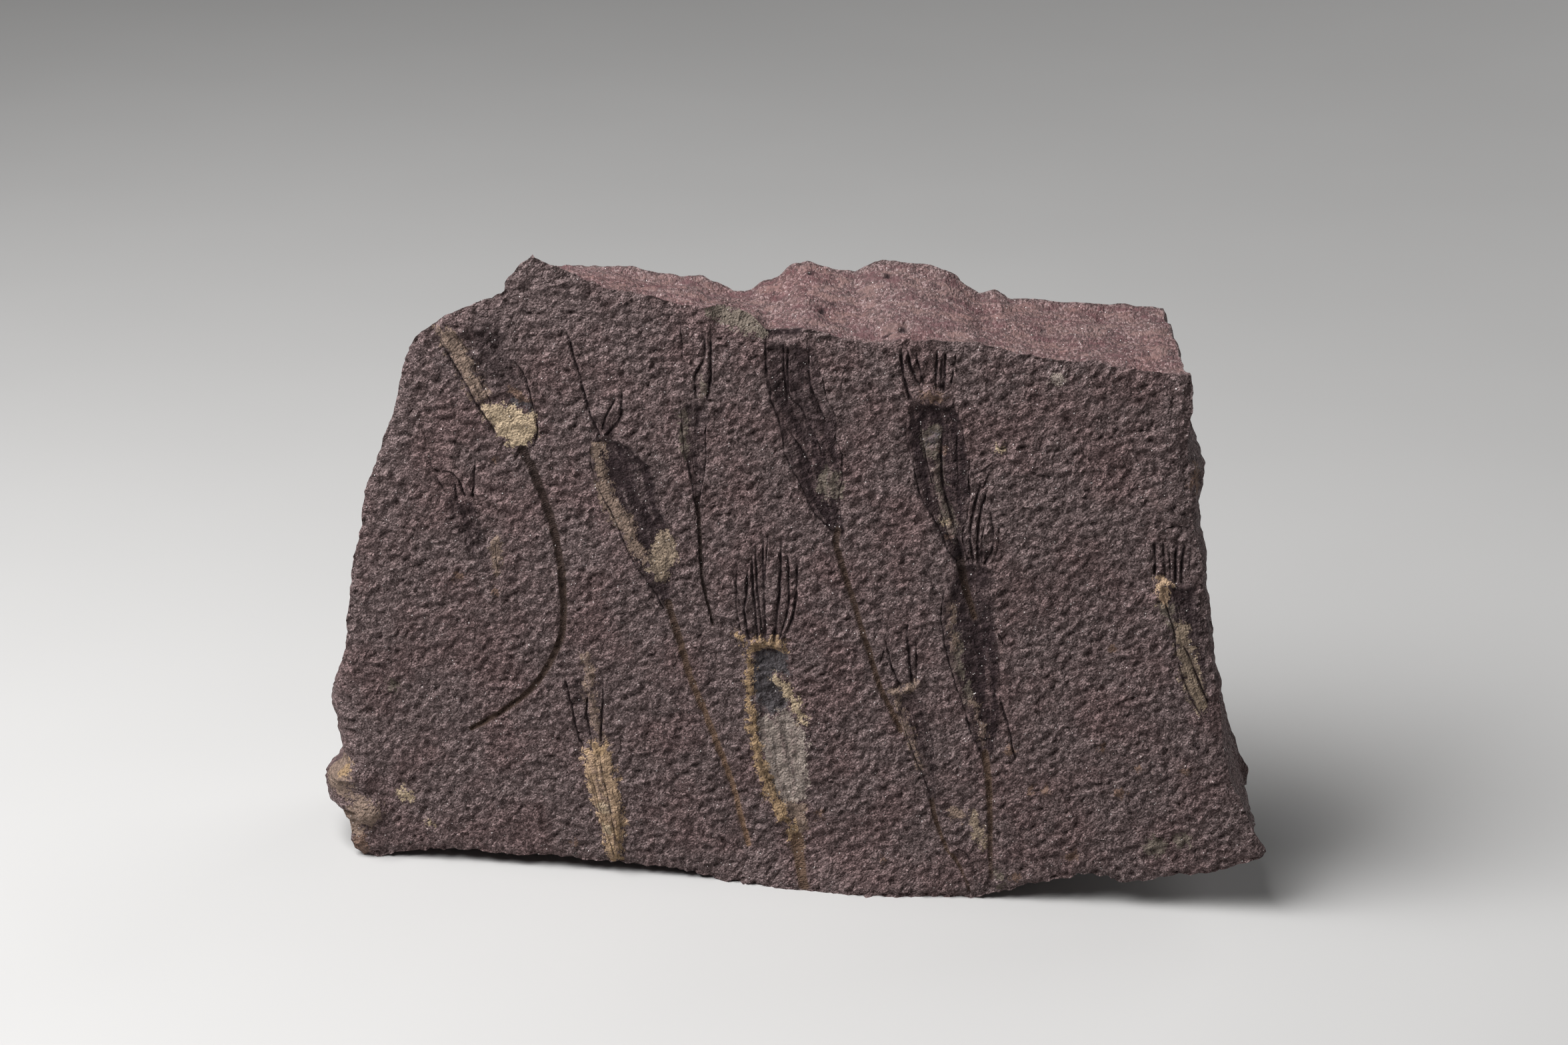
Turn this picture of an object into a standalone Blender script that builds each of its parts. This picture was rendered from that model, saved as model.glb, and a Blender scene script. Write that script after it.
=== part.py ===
"""Fossil plate: one hand-broken slab of fine sandstone that stands on its lower edge.

Stalked fossils lie in its front face as shallow moulds: a cup with arms above it and a
thin stem below. The slab is broken all round, and its flat feet leave a low arch.

Lengths are in millimetres and seen from the front: x runs to the right, y into the
stone from its front face, and z up from the surface that the slab stands on.
"""

import bmesh
import bpy
import numpy as np
from mathutils import Vector, noise
from mathutils.geometry import delaunay_2d_cdt

MM = 0.001

# The slab as a whole
THICKNESS = 37.0
RIM_STEP = 3.1
GRID_STEP = 4.6
BACK_GRID_STEP = 9.5
SIDE_ROWS = (0.07, 0.2, 0.36, 0.52, 0.68, 0.84)
EDGE_DROP, EDGE_WIDTH = 0.9, 1.7
BACK_EDGE_DROP, BACK_EDGE_WIDTH = 1.8, 3.4

# Unevenness of the broken faces: height and spacing of the lumps
SWELL, SWELL_SPACING = 0.7, 38.0
LUMP, LUMP_SPACING = 0.45, 8.0
BACK_LUMP, BACK_LUMP_SPACING = 0.7, 15.0
CHIP, CHIP_SPACING = 1.2, 11.0
NICK, NICK_SPACING = 0.5, 4.0
LEDGE, LEDGE_SPACING = 0.5, 5.0

STONE_COLOUR = (0.30, 0.23, 0.225, 1.0)
STONE_ROUGHNESS = 0.85

# The four broken sides, each along the front edge and along the back edge
LEFT_FRONT = (
    (-95.5, 0.0), (-98.2, 1.6), (-99.1, 5.0), (-98.9, 8.8), (-97.0, 12.5), (-96.8, 17.0),
    (-97.1, 22.0), (-97.3, 28.0), (-98.0, 34.5), (-99.1, 41.0), (-99.8, 46.0), (-98.2, 51.5),
    (-97.5, 58.0), (-96.2, 67.5), (-95.4, 73.5), (-93.3, 80.5), (-92.7, 87.0), (-90.0, 95.0),
    (-86.2, 104.6), (-84.3, 111.0), (-81.4, 122.5), (-79.6, 125.0), (-74.0, 129.5),
    (-70.5, 130.9), (-66.5, 133.5), (-62.8, 134.3), (-60.1, 136.1), (-59.8, 138.5),
    (-56.5, 142.4), (-53.7, 144.5),
)
LEFT_BACK = (
    (-94.0, 0.3), (-100.5, 2.5), (-103.0, 9.0), (-104.0, 20.0), (-103.5, 34.0), (-102.5, 46.0),
    (-100.0, 58.0), (-98.5, 70.0), (-95.5, 84.0), (-91.0, 94.0), (-86.5, 104.0),
    (-81.0, 112.5), (-74.0, 119.0), (-67.0, 123.5), (-60.2, 131.0),
)
TOP_FRONT = (
    (-53.7, 144.5), (-49.0, 142.2), (-41.0, 139.4), (-38.0, 137.8), (-28.0, 136.8),
    (-24.5, 135.6), (-14.0, 134.7), (-6.0, 132.4), (-4.0, 130.4), (2.0, 130.1), (4.3, 131.0),
    (13.0, 129.3), (19.5, 128.6), (25.0, 130.0), (40.0, 129.9), (50.0, 128.0), (59.0, 126.7),
    (64.5, 127.2), (75.0, 125.7), (85.2, 125.0),
)
TOP_BACK = (
    (-60.2, 131.0), (-43.4, 131.7), (-37.1, 131.1), (-28.7, 129.9), (-23.4, 129.8),
    (-16.0, 127.5), (-12.4, 127.9), (-9.7, 130.0), (-6.6, 131.0), (-3.4, 133.6), (0.2, 134.5),
    (6.0, 133.0), (10.2, 132.8), (12.3, 134.2), (16.5, 135.7), (26.0, 135.2), (30.2, 134.3),
    (35.5, 130.4), (37.6, 129.0), (40.7, 129.7), (44.4, 128.2), (62.8, 127.9), (77.5, 127.3),
)
RIGHT_FRONT = (
    (85.2, 125.0), (86.0, 121.0), (85.3, 113.0), (85.3, 108.0), (86.2, 100.0), (86.8, 92.0),
    (89.0, 84.0), (90.5, 75.0), (91.5, 66.0), (93.2, 57.0), (94.7, 48.0), (95.6, 40.0),
    (98.0, 32.0), (101.6, 24.5), (105.0, 17.6), (105.9, 16.0), (105.1, 14.6),
)
RIGHT_BACK = (
    (77.5, 127.3), (79.5, 121.0), (82.0, 104.0), (84.0, 88.0), (88.0, 70.0), (90.5, 56.0),
    (93.0, 42.0), (96.5, 30.0), (100.5, 20.0), (101.0, 15.0),
)
BOTTOM_FRONT = (
    (105.1, 14.6), (98.0, 11.5), (93.0, 9.0), (86.5, 9.1), (80.0, 6.9), (77.0, 6.1),
    (73.5, 6.2), (71.7, 7.4), (67.0, 7.9), (57.0, 4.7), (49.0, 2.2), (41.5, 0.0), (26.0, 0.0),
    (8.0, 0.0), (-13.0, 0.0), (-17.0, 0.4), (-23.0, 1.9), (-31.0, 2.3), (-42.0, 2.8),
    (-57.0, 3.1), (-61.0, 2.4), (-70.0, 3.0), (-80.0, 2.5), (-88.5, 1.4), (-92.0, 0.0),
    (-95.5, 0.0),
)
BOTTOM_BACK = (
    (101.0, 15.0), (92.0, 11.0), (78.0, 8.5), (66.0, 7.5), (55.0, 4.5), (45.0, 2.0),
    (38.0, 0.3), (12.0, 0.3), (-14.0, 0.3), (-20.0, 1.6), (-32.0, 3.0), (-55.0, 3.4),
    (-78.0, 3.0), (-87.0, 0.8), (-94.0, 0.3),
)
# How far the two upright sides swell out behind the front edge, by height
LEFT_BULGE = (
    (0.0, 0.2), (8.0, 2.0), (12.5, 8.0), (17.0, 9.3), (20.0, 7.8), (22.0, 4.6), (27.0, 5.0),
    (37.0, 6.4), (41.0, 4.2), (46.0, 0.8), (60.0, 0.4), (144.5, 0.0),
)
RIGHT_BULGE = (
    (14.6, 0.0), (20.0, 0.3), (30.0, 0.8), (40.0, 1.8), (47.0, 0.8), (57.0, 0.6), (72.0, 1.8), (87.0, 2.6),
    (103.0, 3.2), (110.0, 1.4), (114.0, 0.6), (125.0, 0.6),
)
# The stretches of the lower edge that touch the surface below
FEET = ((-95.5, -91.5), (-13.5, 41.5))

# The front face leans forward at the middle foot
TOE_CENTRE, TOE_HALF_WIDTH = 12.0, 27.0
TOE_REACH, TOE_HEIGHT = 3.8, 13.0

# A chipped pit where a fossil runs out of the top edge, and the cut corner beside it
PIT_CENTRE, PIT_SIZE, PIT_DEPTH = (-0.6, 131.0), (5.0, 2.2), 2.4
CORNER_LEFT, CORNER_RIGHT, CORNER_HEIGHT, CORNER_SLOPE = -16.0, -4.5, 130.0, 0.8

# Round lumps on the lower left corner: centre, radius, height
NODULES = (((-95.0, 12.3), 3.6, 1.8), ((-98.5, 19.0), 3.2, 1.4), ((-97.0, 3.6), 2.4, 0.8))

# Cups: left edge and right edge from the top down, and depth of the hollow
CUPS = {
    "tall cup on the left": (
        ((-75.0, 127.5), (-73.2, 123.2), (-68.0, 113.2), (-64.0, 106.2), (-59.2, 100.6)),
        ((-60.5, 127.5), (-58.6, 122.0), (-55.2, 116.5), (-53.9, 110.0), (-53.4, 104.5),
         (-55.6, 100.6)),
        0.7,
    ),
    "slanting cup": (
        ((-41.6, 104.6), (-41.9, 98.0), (-39.2, 90.0), (-36.0, 83.5), (-32.0, 74.8),
         (-27.2, 66.4)),
        ((-37.0, 104.6), (-32.0, 101.0), (-28.5, 97.0), (-26.2, 87.0), (-23.2, 78.0),
         (-24.6, 66.4)),
        0.9,
    ),
    "slim cup": (
        ((-22.2, 114.0), (-21.9, 107.0), (-20.6, 98.0), (-19.4, 91.0)),
        ((-16.2, 114.0), (-16.8, 107.0), (-17.3, 98.0), (-18.4, 91.0)),
        0.7,
    ),
    "long cup at the top": (
        ((-4.0, 128.0), (-3.8, 120.5), (-1.3, 111.0), (0.2, 102.5), (5.5, 91.0), (10.2, 85.6)),
        ((6.2, 128.0), (8.5, 120.5), (11.0, 110.0), (12.4, 102.5), (12.0, 91.0), (12.6, 85.6)),
        1.0,
    ),
    "dark cup": (
        ((26.4, 116.0), (26.0, 109.0), (28.3, 99.0), (31.5, 91.0), (37.2, 80.6)),
        ((35.6, 116.0), (38.4, 108.0), (39.6, 99.0), (40.2, 91.0), (40.0, 80.6)),
        1.0,
    ),
    "lower dark cup": (
        ((38.6, 80.0), (34.6, 72.0), (34.9, 62.5), (37.5, 52.0), (41.0, 40.5), (43.6, 35.6)),
        ((45.0, 80.0), (45.2, 72.0), (46.2, 62.5), (47.3, 52.0), (47.0, 40.5), (45.8, 35.6)),
        0.8,
    ),
    "bluish cup": (
        ((-9.0, 59.0), (-8.6, 49.0), (-7.0, 36.0), (-4.0, 24.5), (0.2, 14.5), (1.6, 10.0)),
        ((-0.4, 59.0), (1.6, 48.0), (4.6, 38.0), (5.1, 24.5), (4.7, 14.5), (4.3, 10.0)),
        0.8,
    ),
    "cream cup": (
        ((-45.2, 31.5), (-44.5, 24.0), (-42.5, 15.0), (-39.4, 4.5)),
        ((-39.0, 31.5), (-37.4, 22.5), (-36.0, 13.0), (-36.5, 4.5)),
        -0.7,
    ),
    "small cup": (
        ((24.0, 48.2), (24.6, 42.5), (26.3, 36.0), (32.4, 23.4)),
        ((28.2, 48.2), (31.2, 41.0), (33.6, 33.0), (34.0, 23.4)),
        0.7,
    ),
    "cup on the right edge": (
        ((80.6, 78.0), (83.8, 68.0), (85.0, 60.0), (88.5, 51.5), (90.6, 47.8)),
        ((88.0, 78.0), (89.6, 68.0), (91.4, 60.0), (92.8, 51.5), (93.0, 47.8)),
        0.8,
    ),
}

# Stems from the cup down: the line, its width at both ends and its depth
STEMS = {
    "long bent stem": (
        ((-57.0, 100.2), (-55.0, 97.0), (-52.2, 88.0), (-50.2, 80.0), (-48.8, 71.5),
         (-48.7, 62.0), (-50.2, 55.0), (-54.5, 46.5), (-60.0, 40.8), (-65.5, 36.5),
         (-70.5, 33.2)),
        (2.2, 1.2), 0.55,
    ),
    "slanting stem": (
        ((-25.4, 66.6), (-23.5, 60.5), (-20.6, 49.8), (-16.8, 39.4), (-13.0, 29.0),
         (-10.2, 18.5), (-8.0, 9.3)),
        (2.2, 0.9), 0.5,
    ),
    "slim stem": (
        ((-19.0, 91.0), (-18.4, 84.0), (-18.0, 75.0), (-16.4, 66.0), (-15.6, 62.5)),
        (1.2, 0.7), 0.45,
    ),
    "longest stem": (
        ((11.6, 85.5), (13.0, 76.5), (16.0, 66.0), (20.0, 53.0), (22.5, 46.4), (25.4, 40.4)),
        (1.9, 1.0), 0.55,
    ),
    "dark stub": (((38.2, 80.0), (39.5, 73.0), (41.3, 67.3)), (1.9, 1.1), 0.6),
    "short stem": (
        ((44.6, 35.0), (45.4, 27.0), (45.8, 16.0), (46.3, 6.0)), (2.0, 1.2), 0.4,
    ),
    "wide stem": (((3.0, 10.0), (3.8, 5.5), (4.9, 1.5)), (2.9, 2.0), 0.5),
    "thin stem": (((33.0, 23.0), (35.0, 15.0), (37.4, 10.4), (41.0, 3.0)), (1.4, 0.9), 0.4),
}

# Arms and spines: thin grooves, each with its line, width and depth
ARM_WIDTH, ARM_DEPTH = 0.8, 0.5
ARMS = (
    ((-48.4, 128.4), (-46.1, 126.8), (-44.2, 119.0), (-42.2, 111.0), (-39.8, 105.2)),
    ((-36.3, 114.0), (-38.4, 109.2), (-39.2, 105.4)),
    ((-34.9, 117.0), (-35.2, 109.5), (-37.8, 105.4)),
    ((-17.0, 129.0), (-17.3, 122.5), (-18.9, 118.5), (-19.0, 114.6)),
    ((-15.7, 129.0), (-15.7, 120.0), (-16.5, 114.8)),
    ((25.0, 128.0), (25.2, 122.5), (27.6, 117.6)),
    ((27.4, 128.4), (28.5, 123.5), (29.9, 118.6)),
    ((32.4, 128.4), (32.1, 118.4)),
    ((34.2, 128.0), (33.7, 118.4)),
    ((42.6, 96.4), (40.9, 90.0), (41.0, 81.6)),
    ((44.6, 94.5), (44.2, 88.0), (44.2, 81.4)),
    ((-10.4, 78.0), (-10.5, 69.0), (-9.6, 61.0)),
    ((-8.0, 77.0), (-8.6, 67.5), (-8.2, 61.0)),
    ((-6.3, 84.5), (-6.9, 74.0), (-6.0, 61.0)),
    ((-4.2, 85.5), (-4.5, 73.0), (-4.2, 61.0)),
    ((-0.7, 85.0), (-1.0, 72.0), (-2.0, 61.0)),
    ((2.8, 79.0), (2.3, 68.0), (0.2, 60.5)),
    ((-49.2, 49.0), (-47.2, 40.0), (-45.2, 32.0)),
    ((-43.6, 50.0), (-43.9, 41.0), (-43.0, 32.4)),
    ((-40.4, 50.0), (-40.4, 41.0), (-40.9, 33.0)),
    ((22.9, 60.4), (23.5, 55.0), (25.2, 49.6)),
    ((27.8, 66.0), (26.9, 61.0), (27.8, 50.6)),
    ((81.0, 87.4), (80.9, 83.0), (81.6, 79.4)),
    ((84.8, 92.5), (83.9, 84.5), (84.1, 79.0)),
    ((47.4, 48.0), (49.4, 41.0), (50.8, 35.0)),
    ((-72.4, 92.8), (-71.8, 88.2)),
    ((-68.0, 95.0), (-68.4, 88.8)),
)


def clear_scene():
    for thing in list(bpy.data.objects):
        bpy.data.objects.remove(thing, do_unlink=True)


def lumps(points, spacing, seed):
    """Smooth noise from -1 to 1 at each point, with lumps of about the given spacing."""
    shift = Vector((seed * 7.3, seed * 3.1, seed * 5.7))
    return np.array([noise.noise(Vector(point) / spacing + shift) for point in points])


def smooth_step(value):
    value = np.clip(value, 0.0, 1.0)
    return value * value * (3.0 - 2.0 * value)


def lengths_along(line):
    steps = np.linalg.norm(np.diff(line, axis=0), axis=1)
    return np.concatenate([[0.0], np.cumsum(steps)])


def even_points(line, count):
    """The line's own shape as count + 1 points at even steps."""
    line = np.array(line)
    along = lengths_along(line)
    wanted = np.linspace(0.0, along[-1], count + 1)
    return np.stack([np.interp(wanted, along, line[:, axis]) for axis in (0, 1)], axis=1)


def curved(line, step):
    """A smooth curve through the line's points, as points about a step apart."""
    ends = np.array([line[0], *line, line[-1]])
    pieces = []
    for before, start, end, after in zip(ends, ends[1:], ends[2:], ends[3:]):
        count = max(2, round(np.linalg.norm(end - start) / step))
        t = (np.arange(count) / count)[:, None]
        pieces.append(
            start
            + 0.5 * t * (end - before)
            + 0.5 * t**2 * (2 * before - 5 * start + 4 * end - after)
            + 0.5 * t**3 * (3 * start - before - 3 * end + after)
        )
    curve = np.concatenate([*pieces, ends[-1:]])
    return even_points(curve, max(1, round(lengths_along(curve)[-1] / step)))


def sideways(line):
    """The unit normal at each point of a line."""
    along = np.gradient(line, axis=0)
    normal = np.stack([-along[:, 1], along[:, 0]], axis=1)
    return normal / np.linalg.norm(normal, axis=1, keepdims=True)


def distance_to(line, points):
    """Distance from each point to the line, and the share of its length at the nearest spot."""
    starts, ways = line[:-1], np.diff(line, axis=0)
    share = ((points[:, None] - starts) * ways).sum(2) / (ways**2).sum(1)
    share = np.clip(share, 0.0, 1.0)
    gaps = np.linalg.norm(points[:, None] - starts - share[..., None] * ways, axis=2)
    nearest = gaps.argmin(axis=1)
    row = np.arange(len(points))
    along = lengths_along(line)
    reached = along[nearest] + share[row, nearest] * np.diff(along)[nearest]
    return gaps[row, nearest], reached / along[-1]


def inside(outline, points):
    """Whether each point lies inside the closed outline."""
    crossings = np.zeros(len(points), int)
    x, z = points.T
    for (ax, az), (bx, bz) in zip(outline, np.roll(outline, -1, axis=0)):
        spans = (az > z) != (bz > z)
        rise = bz - az if bz != az else 1.0
        crossings += spans & (x < ax + (bx - ax) * (z - az) / rise)
    return crossings % 2 == 1


def cup_edges(cup, z):
    """Left and right edge of a cup at the given heights."""
    left, right = (np.array(edge)[::-1] for edge in cup[:2])
    return np.interp(z, left[:, 1], left[:, 0]), np.interp(z, right[:, 1], right[:, 0])


def cup_hollow(cup, points):
    x, z = points.T
    left, right = cup_edges(cup, z)
    across = np.clip((x - left) / (right - left), 0.0, 1.0)
    top, bottom = cup[0][0][1], cup[0][-1][1]
    ends = smooth_step((top - z) / 2.0) * smooth_step((z - bottom) / 2.0)
    return cup[2] * np.sqrt(4.0 * across * (1.0 - across)) * ends


def groove(line, points, widths, depth):
    """Depth of a rounded groove along the line, which narrows and dies out at its end."""
    away, along = distance_to(line, points)
    half = 0.5 * (widths[0] + (widths[1] - widths[0]) * along)
    return depth * np.clip(1.0 - (away / half) ** 2, 0.0, 1.0)


def stem_lines():
    return [(curved(line, RIM_STEP), widths, depth) for line, widths, depth in STEMS.values()]


def arm_lines():
    return [(curved(line, RIM_STEP), (ARM_WIDTH, ARM_WIDTH), ARM_DEPTH) for line in ARMS]


def front_depth(points, rim):
    """How far each point of the front face lies behind the plane of that face."""
    x, z = points.T
    solid = np.stack([x, np.zeros(len(x)), z], axis=1)
    depth = SWELL * lumps(solid, SWELL_SPACING, 1) + LUMP * lumps(solid, LUMP_SPACING, 2)
    depth += EDGE_DROP * np.exp(-((distance_to(rim, points)[0] / EDGE_WIDTH) ** 2))
    reach = np.clip(1.0 - ((x - TOE_CENTRE) / TOE_HALF_WIDTH) ** 2, 0.0, 1.0)
    depth -= TOE_REACH * reach * np.clip(1.0 - z / TOE_HEIGHT, 0.0, 1.0) ** 2
    across = smooth_step((x - CORNER_LEFT) / 2.0) * smooth_step((CORNER_RIGHT - x) / 2.0)
    depth += CORNER_SLOPE * across * np.clip(z - CORNER_HEIGHT, 0.0, None)
    spread = (points - np.array(PIT_CENTRE)) / np.array(PIT_SIZE)
    depth += PIT_DEPTH * np.clip(1.0 - (spread**2).sum(1), 0.0, 1.0)
    for centre, radius, height in NODULES:
        away = np.linalg.norm(points - np.array(centre), axis=1) / radius
        depth -= height * np.sqrt(np.clip(1.0 - away**2, 0.0, 1.0))
    for cup in CUPS.values():
        depth += cup_hollow(cup, points)
    for line, widths, deep in stem_lines() + arm_lines():
        depth += groove(line, points, widths, deep)
    return depth


def nicked(loop, seed, foot):
    """The loop with small nicks along it, except where it stands on a foot."""
    nicks = NICK * lumps(np.insert(loop, 1, 0.0, axis=1), NICK_SPACING, seed) * (1.0 - foot)
    return np.maximum(loop + nicks[:, None] * sideways_closed(loop), (-np.inf, 0.0))


def rim_loops():
    """The slab's edge at its front and at its back, point for point, and how far the
    side swells out at each point and stands on a foot there."""
    fronts, backs = [], []
    for front, back in (
        (LEFT_FRONT, LEFT_BACK), (TOP_FRONT, TOP_BACK),
        (RIGHT_FRONT, RIGHT_BACK), (BOTTOM_FRONT, BOTTOM_BACK),
    ):
        count = round(lengths_along(np.array(front))[-1] / RIM_STEP)
        fronts.append(even_points(front, count)[:-1])
        backs.append(even_points(back, count)[:-1])
    front, back = np.concatenate(fronts)[::-1], np.concatenate(backs)[::-1]
    x, z = front.T
    bulge = np.where(
        x < 0.0, np.interp(z, *np.array(LEFT_BULGE).T), np.interp(z, *np.array(RIGHT_BULGE).T)
    )
    bulge *= (np.abs(x) > 80.0) & (z < 126.0)
    foot = np.zeros(len(front))
    for low, high in FEET:
        foot += (x > low) & (x < high) & (z < 0.05)
    return nicked(front, 10, foot), nicked(back, 11, foot), bulge, foot


def feature_rows(rim):
    """Rows of points along the fossils, so that the surface bends exactly at their edges."""
    rows = []
    for line, widths, _ in stem_lines() + arm_lines():
        half = 0.5 * np.linspace(widths[0], widths[1], len(line))[:, None]
        normal = sideways(line)
        rows += [line - half * normal, line, line + half * normal]
    for cup in CUPS.values():
        top, bottom = cup[0][0][1], cup[0][-1][1]
        z = np.linspace(top, bottom, max(4, round((top - bottom) / 3.4)))
        left, right = cup_edges(cup, z)
        for share in (0.0, 0.14, 0.5, 0.86, 1.0):
            rows.append(np.stack([left + share * (right - left), z], axis=1))
    closed = np.concatenate([rim, rim[:1]])
    keep = [inside(rim, row) & (distance_to(closed, row)[0] > 1.1) for row in rows]
    return [(row, kept) for row, kept in zip(rows, keep)]


def hex_grid(rim, step, margin):
    low, high = rim.min(axis=0), rim.max(axis=0)
    rows = np.arange(low[1], high[1], step * np.sqrt(0.75))
    points = []
    for number, z in enumerate(rows):
        x = np.arange(low[0] + (number % 2) * step / 2, high[0], step)
        points.append(np.stack([x, np.full(len(x), z)], axis=1))
    points = np.concatenate(points)
    wobble = np.stack([lumps(np.insert(points, 1, 0.0, 1), 3.0, seed) for seed in (5, 6)], 1)
    points += 0.35 * step * wobble
    closed = np.concatenate([rim, rim[:1]])
    return points[inside(rim, points) & (distance_to(closed, points)[0] > margin)]


def apart_from(points, others, gap):
    """The points that lie at least the gap from all the others."""
    near = np.linalg.norm(points[:, None] - others, axis=2).min(axis=1)
    return points[near > gap]


def filled(rim, free, rows):
    """Triangles that fill the rim: points, faces and the place of each rim point."""
    points, edges = [*rim, *free], []
    for row, kept in rows:
        numbers = len(points) + np.cumsum(kept) - 1
        points += list(row[kept])
        joined = kept[:-1] & kept[1:]
        edges += list(zip(numbers[:-1][joined], numbers[1:][joined]))
    vectors = [Vector(point) for point in points]
    links = [(int(a), int(b)) for a, b in edges]
    result = delaunay_2d_cdt(vectors, links, [list(range(len(rim)))], 0, 1e-4, True)
    place = {number: index for index, origins in enumerate(result[3]) for number in origins}
    found, faces = np.array([tuple(point) for point in result[0]]), np.array(result[2])
    faces = faces[inside(rim, found[faces].mean(axis=1))]
    return found, [tuple(face) for face in faces.tolist()], [place[n] for n in range(len(rim))]


def inset_row(rim, width):
    """The rim moved inwards by the width, without the points that come too near it."""
    row = rim - sideways_closed(rim) * width
    away = distance_to(np.concatenate([rim, rim[:1]]), row)[0]
    return row[inside(rim, row) & (away > 0.8 * width)]


def front_face(rim):
    rows = feature_rows(rim)
    fixed = np.concatenate([row[kept] for row, kept in rows])
    inset = apart_from(inset_row(rim, EDGE_WIDTH), fixed, 1.4)
    grid = hex_grid(rim, GRID_STEP, 0.8 * GRID_STEP)
    grid = apart_from(grid, np.concatenate([fixed, inset]), 0.6 * GRID_STEP)
    points, faces, place = filled(rim, [*inset, *grid], rows)
    depth = front_depth(points, np.concatenate([rim, rim[:1]]))
    return np.insert(points, 1, depth, axis=1), faces, place


def back_face(rim):
    inset = inset_row(rim, BACK_EDGE_WIDTH)
    grid = apart_from(hex_grid(rim, BACK_GRID_STEP, BACK_EDGE_WIDTH), inset, BACK_EDGE_WIDTH)
    points, faces, place = filled(rim, [*inset, *grid], [])
    solid = np.insert(points, 1, THICKNESS, axis=1)
    solid[:, 1] += SWELL * lumps(solid, SWELL_SPACING, 3)
    solid[:, 1] += BACK_LUMP * lumps(solid, BACK_LUMP_SPACING, 4)
    away = distance_to(np.concatenate([rim, rim[:1]]), points)[0]
    solid[:, 1] -= BACK_EDGE_DROP * np.exp(-((away / (0.6 * BACK_EDGE_WIDTH)) ** 2))
    return solid, [face[::-1] for face in faces], place


def sideways_closed(loop):
    """The outward unit normal at each point of a loop that runs anticlockwise."""
    along = np.roll(loop, -1, axis=0) - np.roll(loop, 1, axis=0)
    normal = np.stack([along[:, 1], -along[:, 0]], axis=1)
    return normal / np.linalg.norm(normal, axis=1, keepdims=True)


def side_rows(front, back, bulge, foot):
    """The rows of points round the broken sides, between the two faces' edges."""
    outward = sideways_closed(0.5 * (front[:, ::2] + back[:, ::2]))
    rows = []
    for share in SIDE_ROWS:
        row = front + share * (back - front)
        out = bulge * np.sin(np.pi * np.sqrt(share))
        rough = CHIP * (lumps(row, CHIP_SPACING, 8) - 0.5)
        rough += LEDGE * np.tanh(5.0 * lumps(row * (0.25, 1.0, 0.25), LEDGE_SPACING, 9) - 1.5)
        ends = smooth_step(share / 0.1) * smooth_step((1.0 - share) / 0.1)
        out = (out + rough * ends) * (1.0 - foot)
        row[:, ::2] += out[:, None] * outward
        row[:, 2] = np.maximum(row[:, 2], 0.0)
        row[foot > 0.0, 2] = 0.0
        rows.append(row)
    return rows


def slab_mesh():
    """Points and faces of the whole slab, closed, with its faces outwards."""
    front_rim, back_rim, bulge, foot = rim_loops()
    front, front_faces, front_place = front_face(front_rim)
    back, back_faces, back_place = back_face(back_rim)
    rows = side_rows(front[front_place], back[back_place], bulge, foot)
    points = np.concatenate([front, back, *rows])
    count, first_row = len(front_rim), len(front) + len(back)
    loops = [front_place]
    for number in range(len(rows)):
        start = first_row + number * count
        loops.append(list(range(start, start + count)))
    loops.append([len(front) + place for place in back_place])
    faces = list(front_faces)
    faces += [tuple(len(front) + corner for corner in face) for face in back_faces]
    for near, far in zip(loops, loops[1:]):
        for a, b in zip(range(count), [*range(1, count), 0]):
            faces.append((near[b], near[a], far[a], far[b]))
    return points, faces


def stone_material():
    material = bpy.data.materials.new("sandstone")
    material.use_nodes = True
    shader = material.node_tree.nodes["Principled BSDF"]
    shader.inputs["Base Color"].default_value = STONE_COLOUR
    shader.inputs["Roughness"].default_value = STONE_ROUGHNESS
    shader.inputs["Metallic"].default_value = 0.0
    return material


def build_slab():
    points, faces = slab_mesh()
    middle = 0.5 * (points.min(axis=0) + points.max(axis=0))
    middle[2] = 0.0
    shape = bmesh.new()
    corners = [shape.verts.new((point - middle) * MM) for point in points]
    for face in faces:
        shape.faces.new([corners[corner] for corner in face])
    bmesh.ops.triangulate(shape, faces=shape.faces[:])
    bmesh.ops.recalc_face_normals(shape, faces=shape.faces[:])
    mesh = bpy.data.meshes.new("fossil_slab")
    shape.to_mesh(mesh)
    shape.free()
    slab = bpy.data.objects.new("fossil_slab", mesh)
    slab.data.materials.append(stone_material())
    bpy.context.scene.collection.objects.link(slab)
    return slab


clear_scene()
build_slab()
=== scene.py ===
"""Looks of the fossil plate: a hand-broken slab of purple-grey sandstone.

Stalked fossils lie in its front face as shallow moulds, each a cup with arms above it
and a thin stem below, partly covered by cream, ochre and blue-grey crusts. The slab is
one broken natural shape, so its mesh is worked out in code as a fine version of the
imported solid.

Lengths are in millimetres and seen from the front: x runs to the right, y into the
stone from its front face, and z up from the surface that the slab stands on.
"""

import bpy
import numpy as np
from bpy.props import FloatProperty, FloatVectorProperty, PointerProperty
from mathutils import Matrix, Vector, kdtree, noise
from mathutils.geometry import delaunay_2d_cdt


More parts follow.
